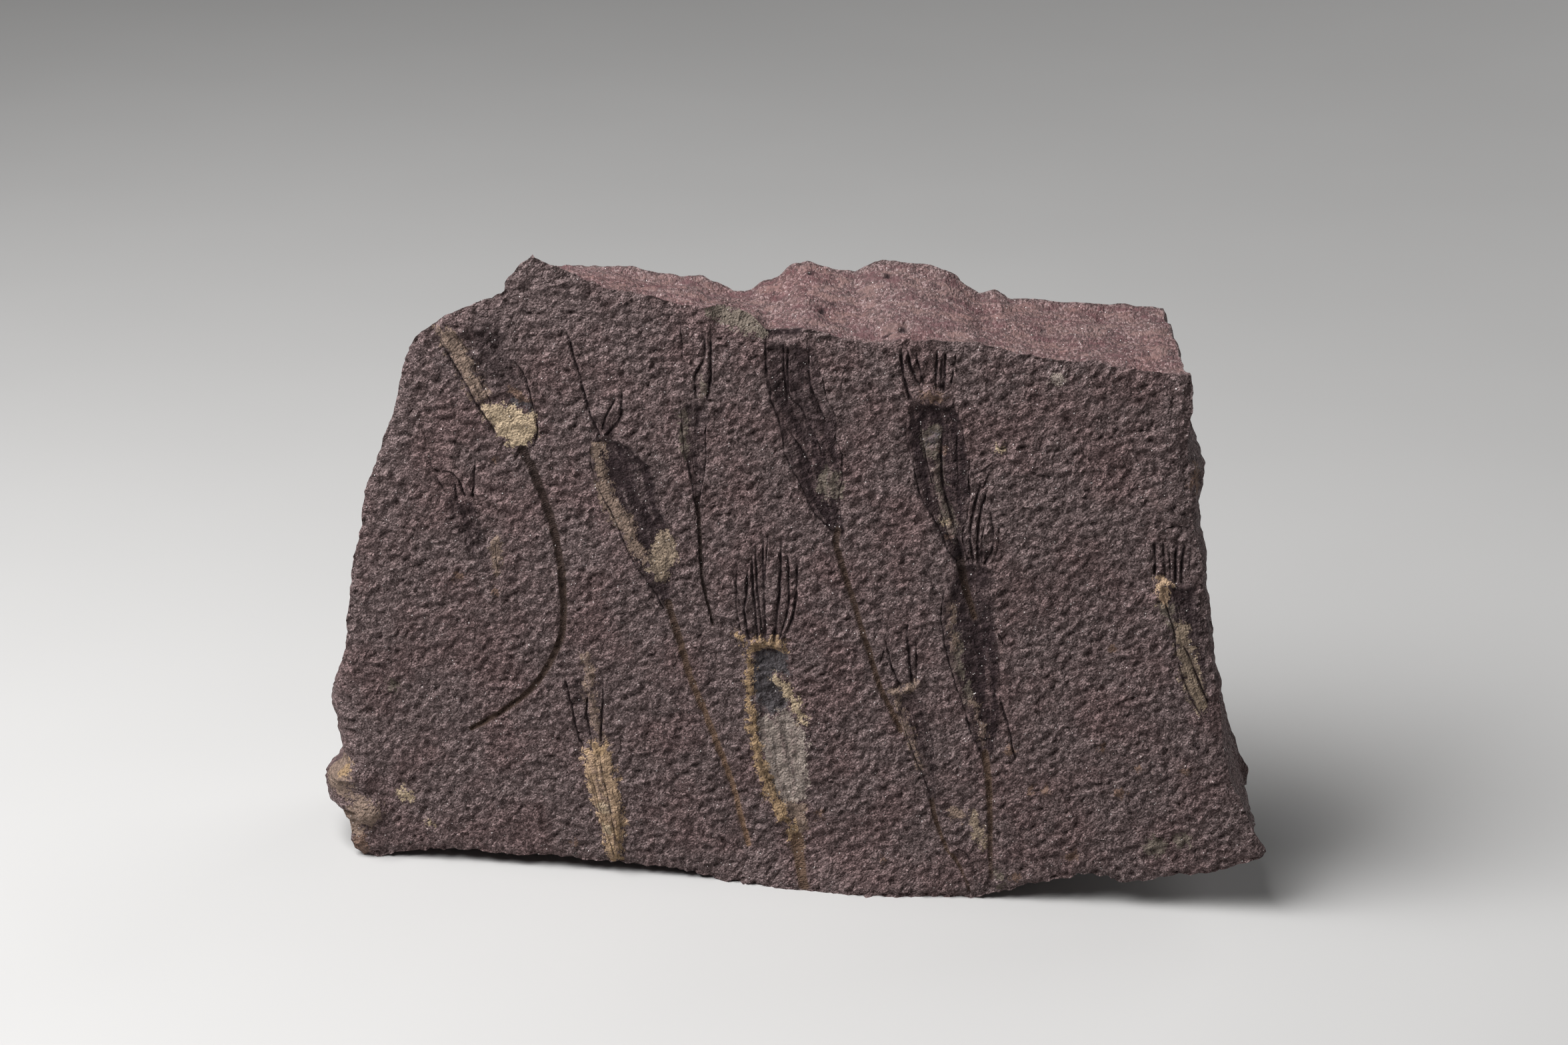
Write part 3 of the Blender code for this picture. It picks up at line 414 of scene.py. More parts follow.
# Small round stains and lumps, by finish: x, z and radius
SPOTS = {
    "ochre": ((38.5, 20.5, 1.7),),
    "cream": (
        (-86, 16, 1.5), (46, 106.8, 0.8), (34.5, 89, 0.7), (-80.5, 9.5, 0.6), (-40.6, 16.5, 1.5),
        (-39.8, 11.5, 1),
    ),
    "rust": (
        (63.5, 12, 1.1), (71, 62, 0.6), (50, 36.8, 0.9), (77.5, 34.5, 0.8), (58, 27.5, 0.7),
        (-63, 98, 0.5), (22.3, 8.2, 0.7), (74, 28.5, 0.7), (54.5, 27.5, 0.5), (69.5, 39, 0.6),
        (87.8, 34.5, 0.6), (35.5, 85.5, 0.6), (-47.2, 7, 0.8), (7.7, 17.8, 0.9), (51.5, 6.5, 1),
        (33.5, 105, 0.7), (-63.7, 67, 0.6), (-72, 70, 0.7),
    ),
    "film": ((47.8, 6.4, 0.9), (48.4, 3.6, 0.8), (-88, 43, 1.2), (82, 16, 2.2), (88, 18, 1.6)),
    "chalk": ((57.5, 122.8, 1.1),),
    "gold": ((-5.2, 29.4, 1.3), (-3.2, 22.9, 1.4), (-1.2, 18, 1), (-7.6, 46.6, 1)),
}
# Stains on the broken sides: finish, centre in x, y and z, and radius
SIDE_SPOTS = (
    ("ochre", (-101, 3, 18.8), 4.6), ("gold", (-100.4, 1, 21), 1.8), ("ochre", (-98.6, 2, 8.5), 3.6),
    ("rust", (87, 4, 101), 3),
)
# The finishes whose spots stand up, and those that cover the stone's grain
RAISED_SPOTS = ("cream", "sand", "chalk")
COVERING = ("cream", "ochre", "sand", "gold", "olive", "chalk")
# Dark specks and smudges: x, z, radius and strength
SMUDGES = (
    (-38, 106.4, 2, 0.9), (37.5, 82.6, 2.4, 1), (42.8, 82.8, 2.3, 0.9), (28, 52.2, 1.1, 0.9),
    (25.4, 51, 0.9, 0.9), (-7.4, 61.2, 1.5, 1), (-4.8, 60.8, 1.4, 0.8), (-1.9, 61.2, 1.6, 1),
    (-9.9, 58, 0.9, 0.7), (65, 44.5, 1, 0.4), (72, 56.5, 1, 0.4), (63.5, 72.5, 0.5, 0.9),
    (19.5, 92, 1.4, 0.5), (-52, 64, 1.2, 0.3), (-69, 83, 1.2, 0.5), (-67.5, 81, 1.1, 0.4),
    (-71, 86.4, 1.2, 0.4), (-65, 124, 4.2, 0.35), (-63, 120.5, 4.6, 0.3), (-60, 115.5, 3.2, 0.3),
    (-57, 111.2, 2.6, 0.35), (-3.6, 129.8, 1.6, 1), (1.8, 130.8, 1.4, 1), (28.2, 114.4, 1.2, 0.7),
    (31, 115, 1.3, 0.7), (33.8, 114.8, 1.4, 0.7), (36, 116, 1, 0.7), (27, 117, 1, 0.8),
    (34.8, 119, 0.9, 0.6), (44.9, 53.8, 0.8, 1), (31.8, 107.8, 1.3, 0.9), (82.5, 84, 3.6, 0.35),
    (-68.6, 85.6, 1.6, 0.6), (-67.3, 81, 1.4, 0.6), (-46.2, 46.5, 2, 0.8), (-45.6, 42.6, 1.9, 0.8),
    (-44.6, 38.4, 1.5, 0.7), (-43.4, 34.8, 1.2, 0.7), (-41, 47, 1.1, 0.6), (-40.8, 40, 1.1, 0.6),
    (37.6, 103.5, 2.6, 0.75), (38.2, 96, 2.4, 0.7), (38.2, 89, 2.2, 0.7), (-64, 127, 5.5, 0.35),
    (-67, 129, 3.5, 0.25), (43, 70, 3.2, 0.5), (46, 52, 2, 0.5), (89.6, 68, 3, 0.5), (90, 60, 2.4, 0.5),
    (-3.8, 54.6, 3.4, 0.55), (87.4, 69, 2.2, 0.6),
)
# Small dark holes in the broken top, by x and y, and their size
HOLES = ((7.5, 19.2), (6, 14.7), (21, 5.8), (24, 7.2), (18, 30.4), (1, 31.9))
HOLE_RADIUS, HOLE_DEPTH = 1.2, 0.9

# The finishes of the crusts, kept as a distance inside them, and the other marks
FINISHES = ("film", "slate", "rust", "chalk", "olive", "sand", "ochre", "gold", "cream")
MARKS = ("mould", "across", "cup", "smudge", "rib", "stem", "tan", "ring", "arm", "fresh")
FAR = -3.0

# Lumps of the faces, from broad to fine: layers of spacing and height
FRONT_SWELLS = ((38.0, 0.7), (8.0, 0.22))
BACK_SWELLS = ((38.0, 1.4), (15.0, 1.7))
BACK_GRAINS = ((5.5, 0.9), (3.0, 0.7))
BACK_LEDGE, BACK_LEDGE_SPACING, BACK_LEDGE_STRETCH = 0.9, 24.0, (0.6, 1.0, 1.0)
# Grains of the front face, drawn out along a slant, and how far fossils may calm them
GRAINS = ((3.0, 0.12), (1.35, 0.75), (0.85, 1.05))
RIDGE_ANGLE, RIDGE_STRETCH, LEAST_GRAIN = 0.65, 1.6, 0.15
# What makes the outlines of cups and crusts ragged
RAGGED = ((2.0, 1.1), (0.9, 0.66))
SEED_SHIFT = (7.3, 3.1, 5.7)

# Roughness of the broken sides: chips, ledges along the bedding, and grains given by their
# height, stretch, spacing and seed
CHIP, CHIP_SPACING = 1.2, 11.0
LEDGE, LEDGE_SPACING, LEDGE_STRETCH = 0.5, 5.0, (0.25, 1.0, 0.25)
SIDE_GRAINS = ((0.6, 0.8, 3.0, 12), (0.5, 0.6, 1.5, 13))
BULGE_FROM, BULGE_TOP = 80.0, 126.0
FOOT_HEIGHT = 0.05
ROUGH_FROM = 0.07

# The edges: nicks along them, how far into the sides those reach, and the rounding
NICK, NICK_SPACING = 0.5, 4.0
FINE_NICK, FINE_NICK_SPACING = 0.25, 1.4
NICK_REACH = 0.08
EDGE_DROP, EDGE_WIDTH, EDGE_SPACING = 1.0, 1.3, 9.0
TOP_EDGE_HEIGHT, TOP_EDGE_SHARE = 124.0, 0.35
BACK_EDGE_DROP, BACK_EDGE_WIDTH = 1.8, 2.0

# How wide the edges of the marks are, and how far past a cup or a stem its marks reach
CUP_END, CUP_EDGE, CUP_MARGIN, STEM_MARGIN = 2.0, 1.2, 2.0, 1.0
MOULD_EDGE, CRUST_EDGE, SPOT_EDGE = 1.4, 0.8, 0.6
OUTLINE_POINTS, OUTLINE_REACH = 12, 8.0
SPOT_HEIGHT, COLLAR_LUMPS = 0.2, 1.1
# Cracks along the cups: width, depth and darkness
CRACK = (0.6, 0.35, 0.7)
# Grooves taper to their tips, and have a low bank along their right-hand side, painted lighter as a
# painted highlight
TIP_SHARE, MOST_GROOVE = 0.5, 1.15
BANK_HEIGHT, BANK_HIGHLIGHT, BANK_PLACE, BANK_WIDTH = 0.15, 0.7, 1.9, 0.9
WAVER, WAVER_SPACING = 0.2, 3.6

# The surface's points: steps and rows along the fossils, rows inside the edges, and gaps
FINE_STEP, STEM_STEP, ARM_STEP = 0.12, 0.45, 0.6
STEM_ROWS, ARM_ROWS = (-1.0, -0.55, 0.0, 0.55, 1.0), (-0.5, 0.0, 0.5)
FRONT_INSETS, FRONT_MARGIN, RIM_GAP = (0.55, 1.2), 1.7, 1.4
BACK_INSETS, BACK_MARGIN = (1.0, 2.4), 3.6
GRID_WOBBLE = 0.35
SHARP_ANGLE = 60.0

# The pattern of the finish: streaks along the cups, rings of the stems, grains, and flakes with painted
# glints
STREAKS, STREAKS_APART, STREAK_LENGTH = 6.0, 10.0, 11.0
STREAK_BUMP, STREAK_SHADE = 0.6, 0.65
RING_SPACING, RING_SHADE, RING_BUMP = 0.45, 0.35, 0.02
GRAIN_SIZE, GRAIN_TONE, GRAIN_BUMP, BROAD_BUMP, FINE_BUMP = 0.5, 0.3, 0.19, 0.5, 0.22
BUMP_HEIGHT = 2.4
FINE_STRETCH, TOP_STRETCH, MOTTLE_STRETCH = 1.2, (1.0, 0.55, 1.0), (0.5, 1.0, 1.0)
CRUST_SHADE = 0.6
FLAKE_SIZE, FLAKE_ROUGH, ROUGH = 0.3, 0.3, 0.86
STONE_GLOSS = 0.15

# The view: a long lens above the front, a little to its right. Each place of the camera or
# of a light is its azimuth, elevation and distance, in degrees and metres, from its aim
CAMERA_LENS, CAMERA_SENSOR, CAMERA_END = 85.0, 36.0, 50.0
CAMERA_PLACE = (8.5, 22.0, 0.793)
CAMERA_AIM = (0.0, 0.0, 87.2)
# The stage, in metres but for the floor's patches
FLOOR_SIZE, FLOOR_PATCH = 8.0, 220.0
SKY_BAND, SKY_TOP = (0.12, 0.35), 0.1
LIGHT_AIM = (0.0, 0.0, 0.07)
KEY_SIZE, KEY_PLACE = 0.56, (-50.0, 55.0, 0.8)
FILL_SIZE, FILL_PLACE = 1.2, (45.0, 30.0, 1.6)
BACK_SIZE, BACK_PLACE = 1.2, (138.0, 18.0, 1.6)


def lumps(points, spacing, seed):
    """Smooth noise from -1 to 1 at each point, with lumps of about the given spacing. Points
    given by x and z alone have a y of 0, and the seed tells one noise from another."""
    if points.shape[1] == 2:
        points = np.insert(points, 1, 0.0, axis=1)
    shifted = points / spacing + np.array([seed * shift for shift in SEED_SHIFT])
    return np.array([noise.noise(point) for point in shifted.tolist()])


def layered_lumps(points, layers, seed):
    """The sum of several lumps, each given by its spacing and height, with seeds in a row."""
    return sum(
        height * lumps(points, spacing, seed + number)
        for number, (spacing, height) in enumerate(layers)
    )


def smooth_step(value):
    value = np.clip(value, 0.0, 1.0)
    return value * value * (3.0 - 2.0 * value)


def edge(within, width):
    """A share that rises from 0 to 1 over the width, from a little outside an outline."""
    return smooth_step(within / width + 0.3)


def away_from(points, centre):
    return np.linalg.norm(points - np.array(centre), axis=1)


def at_share(ends, share):
    """The value at a share of the way between two ends."""
    return ends[0] + (ends[1] - ends[0]) * share


def lengths_along(line):
    steps = np.linalg.norm(np.diff(line, axis=0), axis=1)
    return np.concatenate([[0.0], np.cumsum(steps)])


def even_points(line, count):
    """The line's own shape as count + 1 points at even steps."""
    line = np.array(line)
    along = lengths_along(line)
    wanted = np.linspace(0.0, along[-1], count + 1)
    return np.stack([np.interp(wanted, along, line[:, axis]) for axis in (0, 1)], axis=1)


def curved(line, step):
    """A smooth curve through the line's points, as points about a step apart."""
    ends = np.array([line[0], *line, line[-1]])
    pieces = []
    for before, start, end, after in zip(ends, ends[1:], ends[2:], ends[3:]):
        count = max(2, round(np.linalg.norm(end - start) / step))
        t = (np.arange(count) / count)[:, None]
        pieces.append(
            start
            + 0.5 * t * (end - before)
            + 0.5 * t**2 * (2 * before - 5 * start + 4 * end - after)
            + 0.5 * t**3 * (3 * start - before - 3 * end + after)
        )
    curve = np.concatenate([*pieces, ends[-1:]])
    return even_points(curve, max(1, round(lengths_along(curve)[-1] / step)))


def sideways(line):
    """The unit normal at each point of a line."""
    along = np.gradient(line, axis=0)
    normal = np.stack([-along[:, 1], along[:, 0]], axis=1)
    return normal / np.linalg.norm(normal, axis=1, keepdims=True)


def sideways_closed(loop):
    """The outward unit normal at each point of a loop that runs anticlockwise."""
    along = np.roll(loop, -1, axis=0) - np.roll(loop, 1, axis=0)
    normal = np.stack([along[:, 1], -along[:, 0]], axis=1)
    return normal / np.linalg.norm(normal, axis=1, keepdims=True)


def inside(outline, points):
    """Whether each point lies inside the closed outline."""
    crossings = np.zeros(len(points), int)
    x, z = points.T
    for (ax, az), (bx, bz) in zip(outline, np.roll(outline, -1, axis=0)):
        spans = (az > z) != (bz > z)
        rise = bz - az if bz != az else 1.0
        crossings += spans & (x < ax + (bx - ax) * (z - az) / rise)
    return crossings % 2 == 1


def nearest(line, points):
    """Distance from each point to the nearest point of the line, and that one's number."""
    tree = kdtree.KDTree(len(line))
    for number, (x, z) in enumerate(line):
        tree.insert((x, z, 0.0), number)
    tree.balance()
    found = [tree.find((x, z, 0.0)) for x, z in points.tolist()]
    return np.array([spot[2] for spot in found]), np.array([spot[1] for spot in found], int)


def beside(line, points, reach):
    """Which points lie within reach of the line, their distance, and their place along it."""
    low, high = line.min(axis=0) - reach, line.max(axis=0) + reach
    chosen = np.flatnonzero(((points > low) & (points < high)).all(axis=1))
    if len(chosen) == 0:
        return chosen, np.zeros(0), np.zeros(0, int)
    away, number = nearest(line, points[chosen])
    close = away < reach
    return chosen[close], away[close], number[close]


def ridge(line, points, width):
    """Which points a round ridge along the line covers, and its height there as a share."""
    chosen, away, _ = beside(curved(line, FINE_STEP), points, width)
    return chosen, np.clip(1.0 - (2.0 * away / width) ** 2, 0.0, 1.0)


def depth_inside(outline, points):
    """How far each point lies inside the outline, down to FAR for points well outside."""
    outline = np.array(outline)
    found = np.full(len(points), FAR)
    count = OUTLINE_POINTS * len(outline)
    closed = even_points(np.concatenate([outline, outline[:1]]), count)
    chosen, away, _ = beside(closed, points, OUTLINE_REACH)
    sign = np.where(inside(outline, points[chosen]), 1.0, -1.0)
    found[chosen] = np.clip(sign * away, FAR, None)
    return found


def cup_share(left_edge, right_edge, points):
    """How deep each point lies in a cup's hollow, as a share of the cup's depth, how far
    inside the cup's outline, and how far across the cup."""
    x, z = points.T
    left, right = (
        np.interp(z, *np.array(side)[::-1, ::-1].T) for side in (left_edge, right_edge)
    )
    across = (x - left) / (right - left)
    bowl = np.clip(across, 0.0, 1.0)
    top, bottom = left_edge[0][1], left_edge[-1][1]
    ends = smooth_step((top - z) / CUP_END) * smooth_step((z - bottom) / CUP_END)
    within = np.min([x - left, right - x, top - z, z - bottom], axis=0)
    return np.sqrt(4.0 * bowl * (1.0 - bowl)) * ends, within, across


def wavy(line):
    """A smooth curve through the line's points that wavers a little from side to side."""
    curve = curved(line, FINE_STEP)
    return curve + (WAVER * lumps(curve, WAVER_SPACING, 37))[:, None] * sideways(curve)


def groove_lines():
    """The arms, spines and cracks, each as its curve, width, depth and darkness."""
    grooves = [(line, *size) for *size, lines in ARMS for line in lines]
    for name, sides in CRACKED.items():
        grooves += [(CUPS[name][side], *CRACK) for side in sides]
    return [(wavy(line), *size) for line, *size in grooves]


def stem_lines():
    return [(curved(line, FINE_STEP), *rest) for line, *rest in STEMS.values()]


class Relief:
    """The front face, by x and z: how far each point lies behind its plane, and its marks."""

    def __init__(self, points, rim):
        self.points, self.rim = points, rim
        self.depth = layered_lumps(points, FRONT_SWELLS, 1)
        self.ragged = layered_lumps(points, RAGGED, 34)
        self.marks = {name: np.zeros(len(points)) for name in MARKS}
        self.marks.update({name: np.full(len(points), FAR) for name in FINISHES})

    def lay(self, name, strength, chosen=slice(None)):
        """Lays a mark on the chosen points, wherever it is stronger than what is there."""
        values = self.marks[name]
        values[chosen] = np.maximum(values[chosen], strength)

    def round_rim(self):
        away, number = nearest(self.rim, self.points)
        drop = EDGE_DROP * (0.75 + 0.6 * lumps(self.rim, EDGE_SPACING, 31))
        drop *= np.where(self.rim[:, 1] > TOP_EDGE_HEIGHT, TOP_EDGE_SHARE, 1.0)
        self.depth += drop[number] * np.exp(-((away / EDGE_WIDTH) ** 2))

    def shape_stone(self):
        """The lean at the middle foot, the cut corner, the pit and the nodules."""
        x, z = self.points.T
        reach = np.clip(1.0 - ((x - TOE_CENTRE) / TOE_HALF_WIDTH) ** 2, 0.0, 1.0)
        self.depth -= TOE_REACH * reach * np.clip(1.0 - z / TOE_HEIGHT, 0.0, 1.0) ** 2
        across = smooth_step((x - CORNER_LEFT) / CORNER_END)
        across *= smooth_step((CORNER_RIGHT - x) / CORNER_END)
        self.depth += CORNER_SLOPE * across * np.clip(z - CORNER_HEIGHT, 0.0, None)
        spread = (self.points - np.array(PIT_CENTRE)) / np.array(PIT_SIZE)
        pit = np.clip(1.0 - (spread**2).sum(1), 0.0, 1.0)
        self.depth += PIT_DEPTH * pit
        self.lay("smudge", smooth_step(2.5 * pit))
        for centre, radius, height in NODULES:
            away = away_from(self.points, centre) / radius
            self.depth -= height * np.sqrt(np.clip(1.0 - away**2, 0.0, 1.0))

    def hollow_cups(self):
        for number, (left, right, hollow, dark) in enumerate(CUPS.values()):
            share, within, across = cup_share(left, right, self.points)
            self.depth += hollow * share
            shade = np.interp(self.points[:, 1], (left[-1][1], left[0][1]), dark[::-1])
            self.lay("mould", shade * edge(within + self.ragged, MOULD_EDGE))
            near = within > -CUP_MARGIN
            self.marks["across"][near] = STREAKS_APART * number + STREAKS * across[near]
            self.lay("cup", smooth_step(within / CUP_EDGE + 0.5))

    def raise_ribs(self):
        for width, height, line in RIBS:
            chosen, rise = ridge(line, self.points, width)
            self.depth[chosen] -= height * rise
            # The ribs are marked for their painted highlight
            self.lay("rib", rise, chosen)
        for line, width, height in COLLARS:
            chosen, rise = ridge(line, self.points, width)
            uneven = 0.75 + 0.8 * lumps(self.points[chosen], COLLAR_LUMPS, 33)
            self.depth[chosen] -= height * rise * uneven

    def lay_crusts(self):
        for finish, height, outlines in CRUSTS:
            for outline in outlines:
                within = depth_inside(outline, self.points) + self.ragged
                self.lay(finish, within)
                self.depth -= height * edge(within, CRUST_EDGE)

    def lay_spots(self):
        for finish, spots in SPOTS.items():
            for x, z, radius in spots:
                within = radius - away_from(self.points, (x, z)) + 0.6 * self.ragged
                self.lay(finish, np.clip(within, FAR, None))
                if finish in RAISED_SPOTS:
                    self.depth -= SPOT_HEIGHT * edge(within, SPOT_EDGE)
        for x, z, radius, strength in SMUDGES:
            within = 1.0 - away_from(self.points, (x, z)) / radius
            self.lay("smudge", strength * smooth_step(1.6 * within + 0.3 * self.ragged))

    def cut_stems(self):
        for curve, widths, hollow, dark, tan in stem_lines():
            chosen, away, number = beside(curve, self.points, widths[0] + STEM_MARGIN)
            share = number / (len(curve) - 1)
            half = 0.5 * at_share(widths, share)
            groove = np.clip(1.0 - (away / half) ** 2, -1.0, 1.0)
            self.depth[chosen] += hollow * np.clip(groove, 0.0, 1.0)
            strength = at_share(dark, share) * np.clip(0.2 + groove, 0.0, 1.0)
            self.lay("stem", strength, chosen)
            offset = self.points[chosen] - curve[number]
            onward = (offset * np.gradient(curve, axis=0)[number]).sum(axis=1)
            self.marks["ring"][chosen] = number * FINE_STEP + onward / FINE_STEP
            self.marks["tan"][chosen] = at_share(tan, share)

    def cut_grooves(self):
        for curve, width, hollow, dark in groove_lines():
            chosen, away, number = beside(curve, self.points, 2.0 * width)
            points, along = self.points[chosen], number / len(curve)
            half = 0.5 * width * (TIP_SHARE + (1.0 - TIP_SHARE) * along)
            groove = np.clip(1.0 - (away / half) ** 2, 0.0, 1.0)
            uneven = 1.0 + 0.5 * lumps(points, 1.7, 36) + 0.5 * lumps(points, 5.0, 38)
            strength = np.clip(uneven * smooth_step(0.1 + along / 0.3), 0.0, MOST_GROOVE)
            self.depth[chosen] += hollow * strength * groove
            # The groove's darkness: partly its dark fill, partly painted shade
            self.lay("arm", dark * strength * groove, chosen)
            aside = ((points - curve[number]) * sideways(curve)[number]).sum(axis=1)
            bank = 1.0 - np.abs(aside / half - BANK_PLACE) / BANK_WIDTH
            bank = strength * np.clip(bank, 0.0, 1.0)
            self.depth[chosen] -= BANK_HEIGHT * bank
            # The bank is marked for its painted highlight
            self.lay("rib", BANK_HIGHLIGHT * bank, chosen)

    def add_grains(self, grain_height):
        """The stone's own grains, drawn out up to the right, and calmer on the fossils."""
        x, z = self.points.T
        along = x * np.cos(RIDGE_ANGLE) + z * np.sin(RIDGE_ANGLE)
        across = z * np.cos(RIDGE_ANGLE) - x * np.sin(RIDGE_ANGLE)
        drawn = np.stack([along / RIDGE_STRETCH, across], axis=1)
        covered = np.max([self.marks[name] for name in COVERING], axis=0)
        calm = 1.0 - 0.5 * smooth_step(covered + 0.5) - 0.35 * self.marks["mould"]
        calm -= 0.7 * np.maximum(self.marks["stem"], self.marks["arm"])
        height = grain_height / MM * layered_lumps(drawn, GRAINS, 21)
        self.depth -= height * np.clip(calm, LEAST_GRAIN, 1.0)


def front_relief(points, rim, sizes):
    relief = Relief(points, rim)
    relief.round_rim()
    relief.shape_stone()
    relief.hollow_cups()
    relief.raise_ribs()
    relief.lay_crusts()
    relief.lay_spots()
    relief.cut_stems()
    relief.cut_grooves()
    relief.add_grains(sizes.grain_height)
    return relief


def nicked(loop, seed, foot):
    """The loop with nicks along it, except where it stands on a foot."""
    nicks = NICK * lumps(loop, NICK_SPACING, seed)
    nicks += FINE_NICK * lumps(loop, FINE_NICK_SPACING, seed + 20)
    moved = loop + (nicks * (1.0 - foot))[:, None] * sideways_closed(loop)
    return np.maximum(moved, (-np.inf, 0.0))


def rim_loops(step):
    """The slab's edge at its front and at its back, point for point, plain and with nicks,
    and how far the side swells out at each point, stands on a foot, and belongs to the top."""
    fronts, backs, tops = [], [], []
    for front, back, top in (
        (LEFT_FRONT, LEFT_BACK, 0.0), (TOP_FRONT, TOP_BACK, 1.0),
        (RIGHT_FRONT, RIGHT_BACK, 0.0), (BOTTOM_FRONT, BOTTOM_BACK, 0.0),
    ):
        count = round(lengths_along(np.array(front))[-1] / step)
        fronts.append(even_points(front, count)[:-1])
        backs.append(even_points(back, count)[:-1])
        tops.append(np.full(count, top))
    front, back, top = (np.concatenate(parts)[::-1] for parts in (fronts, backs, tops))
    x, z = front.T
    left, right = (np.interp(z, *np.array(side).T) for side in (LEFT_BULGE, RIGHT_BULGE))
    bulge = np.where(x < 0.0, left, right) * ((np.abs(x) > BULGE_FROM) & (z < BULGE_TOP))
    foot = np.zeros(len(front))
    for low, high in FEET:
        foot += (x > low) & (x < high) & (z < FOOT_HEIGHT)
    return (front, back), (nicked(front, 10, foot), nicked(back, 11, foot)), bulge, foot, top


def apart_from(points, others, gap):
    """The points that lie at least the gap from all the others."""
    return points[nearest(others, points)[0] > gap]


def feature_rows(rim):
    """Rows of points along the fossils, so that the surface bends exactly at their edges."""
    rows = []
    for curve, widths, *_ in stem_lines():
        line = even_points(curve, round(len(curve) * FINE_STEP / STEM_STEP))
        half = 0.5 * np.linspace(widths[0], widths[1], len(line))[:, None]
        rows += [line + share * half * sideways(line) for share in STEM_ROWS]
    for curve, width, *_ in groove_lines():
        line = even_points(curve, max(3, round(len(curve) * FINE_STEP / ARM_STEP)))
        rows += [line + share * width * sideways(line) for share in ARM_ROWS]
    return [(row, inside(rim, row) & (nearest(rim, row)[0] > RIM_GAP)) for row in rows]


def hex_grid(rim, step, margin):
    """An uneven grid inside the rim, with its points about a step apart."""
    low, high = rim.min(axis=0), rim.max(axis=0)
    points = []
    for number, z in enumerate(np.arange(low[1], high[1], step * np.sqrt(0.75))):
        x = np.arange(low[0] + (number % 2) * step / 2, high[0], step)
        points.append(np.stack([x, np.full(len(x), z)], axis=1))
    points = np.concatenate(points)
    wobble = np.stack([lumps(points, 2.0 * step, seed) for seed in (5, 6)], axis=1)
    points += GRID_WOBBLE * step * wobble
    return apart_from(points[inside(rim, points)], rim, margin)


def inset_rows(rim, widths):
    """The rim moved inwards by each width, without the points that come too near it."""
    rows = [rim - sideways_closed(rim) * width for width in widths]
    return np.concatenate([
        apart_from(row[inside(rim, row)], rim, 0.85 * width) for row, width in zip(rows, widths)
    ])


def filled(rim, free, rows):
    """Triangles that fill the rim: points, faces and the place of each rim point."""
    points, edges = [*rim, *free], []
    for row, kept in rows:
        numbers = len(points) + np.cumsum(kept) - 1
        points += list(row[kept])
        joined = kept[:-1] & kept[1:]
        edges += list(zip(numbers[:-1][joined].tolist(), numbers[1:][joined].tolist()))
    vectors = [Vector(point) for point in points]
    result = delaunay_2d_cdt(vectors, edges, [list(range(len(rim)))], 0, 1e-4, True)
    place = {number: index for index, origins in enumerate(result[3]) for number in origins}
    found, faces = np.array([tuple(point) for point in result[0]]), np.array(result[2])
    faces = faces[inside(rim, found[faces].mean(axis=1))]
    return found, faces, [place[number] for number in range(len(rim))]


def front_face(rim, sizes):
    rows = feature_rows(rim)
    fixed = np.concatenate([row[kept] for row, kept in rows])
    insets = apart_from(inset_rows(rim, FRONT_INSETS), fixed, 0.3)
    step = sizes.front_step / MM
    grid = apart_from(hex_grid(rim, step, FRONT_MARGIN), fixed, 0.55 * step)
    points, faces, place = filled(rim, [*insets, *grid], rows)
    relief = front_relief(points, rim, sizes)
    return np.insert(points, 1, relief.depth, axis=1), faces, place, relief.marks


def back_face(rim, sizes):
    grid = hex_grid(rim, sizes.back_step / MM, BACK_MARGIN)
    points, faces, place = filled(rim, [*inset_rows(rim, BACK_INSETS), *grid], [])
    solid = np.insert(points, 1, sizes.thickness / MM, axis=1)
    rough = layered_lumps(solid, BACK_SWELLS, 3)
    ledges = lumps(solid * BACK_LEDGE_STRETCH, BACK_LEDGE_SPACING, 16)
    rough += BACK_LEDGE * np.tanh(6.0 * ledges)
    rough += layered_lumps(solid, BACK_GRAINS, 14)
    away = nearest(rim, points)[0]
    rough -= BACK_EDGE_DROP * np.exp(-((away / BACK_EDGE_WIDTH) ** 2))
    solid[:, 1] += rough
    return solid, faces[:, ::-1], place


def hole_share(points):
    """How deep each point lies in one of the small holes, as a share of their depth."""
    away = np.min([away_from(points[:, :2], hole) for hole in HOLES], axis=0)
    return np.clip(1.0 - (away / HOLE_RADIUS) ** 2, 0.0, 1.0)


def broken(points, top):
    """Roughness of the broken sides: chips, ledges along the bedding, lumps and grains."""
    rough = CHIP * (lumps(points, CHIP_SPACING, 8) - 0.5)
    ledges = lumps(points * LEDGE_STRETCH, LEDGE_SPACING, 9)
    rough += LEDGE * np.tanh(5.0 * ledges - 1.5)
    for height, stretch, spacing, seed in SIDE_GRAINS:
        rough += height * lumps(points * (stretch, 1.0, stretch), spacing, seed)
    return rough - top * HOLE_DEPTH * hole_share(points)


def side_rows(plain, front, back, bulge, foot, top, count):
    """The rows of points round the broken sides, between the two faces' edges."""
    outward = sideways_closed(0.5 * (plain[0] + plain[1]))
    front_nicks, back_nicks = front[:, ::2] - plain[0], back[:, ::2] - plain[1]
    rows = []
    for share in np.arange(1, count) / count:
        row = front + share * (back - front)
        row[:, ::2] = plain[0] + share * (plain[1] - plain[0])
        row[:, ::2] += front_nicks * np.exp(-share / NICK_REACH)
        row[:, ::2] += back_nicks * np.exp((share - 1.0) / NICK_REACH)
        ends = smooth_step(share / ROUGH_FROM) * smooth_step((1.0 - share) / ROUGH_FROM)
        out = bulge * np.sin(np.pi * np.sqrt(share))
        out = (out + broken(row, top) * ends) * (1.0 - foot)
        row[:, ::2] += out[:, None] * outward
        row[:, 2] = np.maximum(row[:, 2], 0.0)
        row[foot > 0.0, 2] = 0.0
        rows.append(row)
    return rows


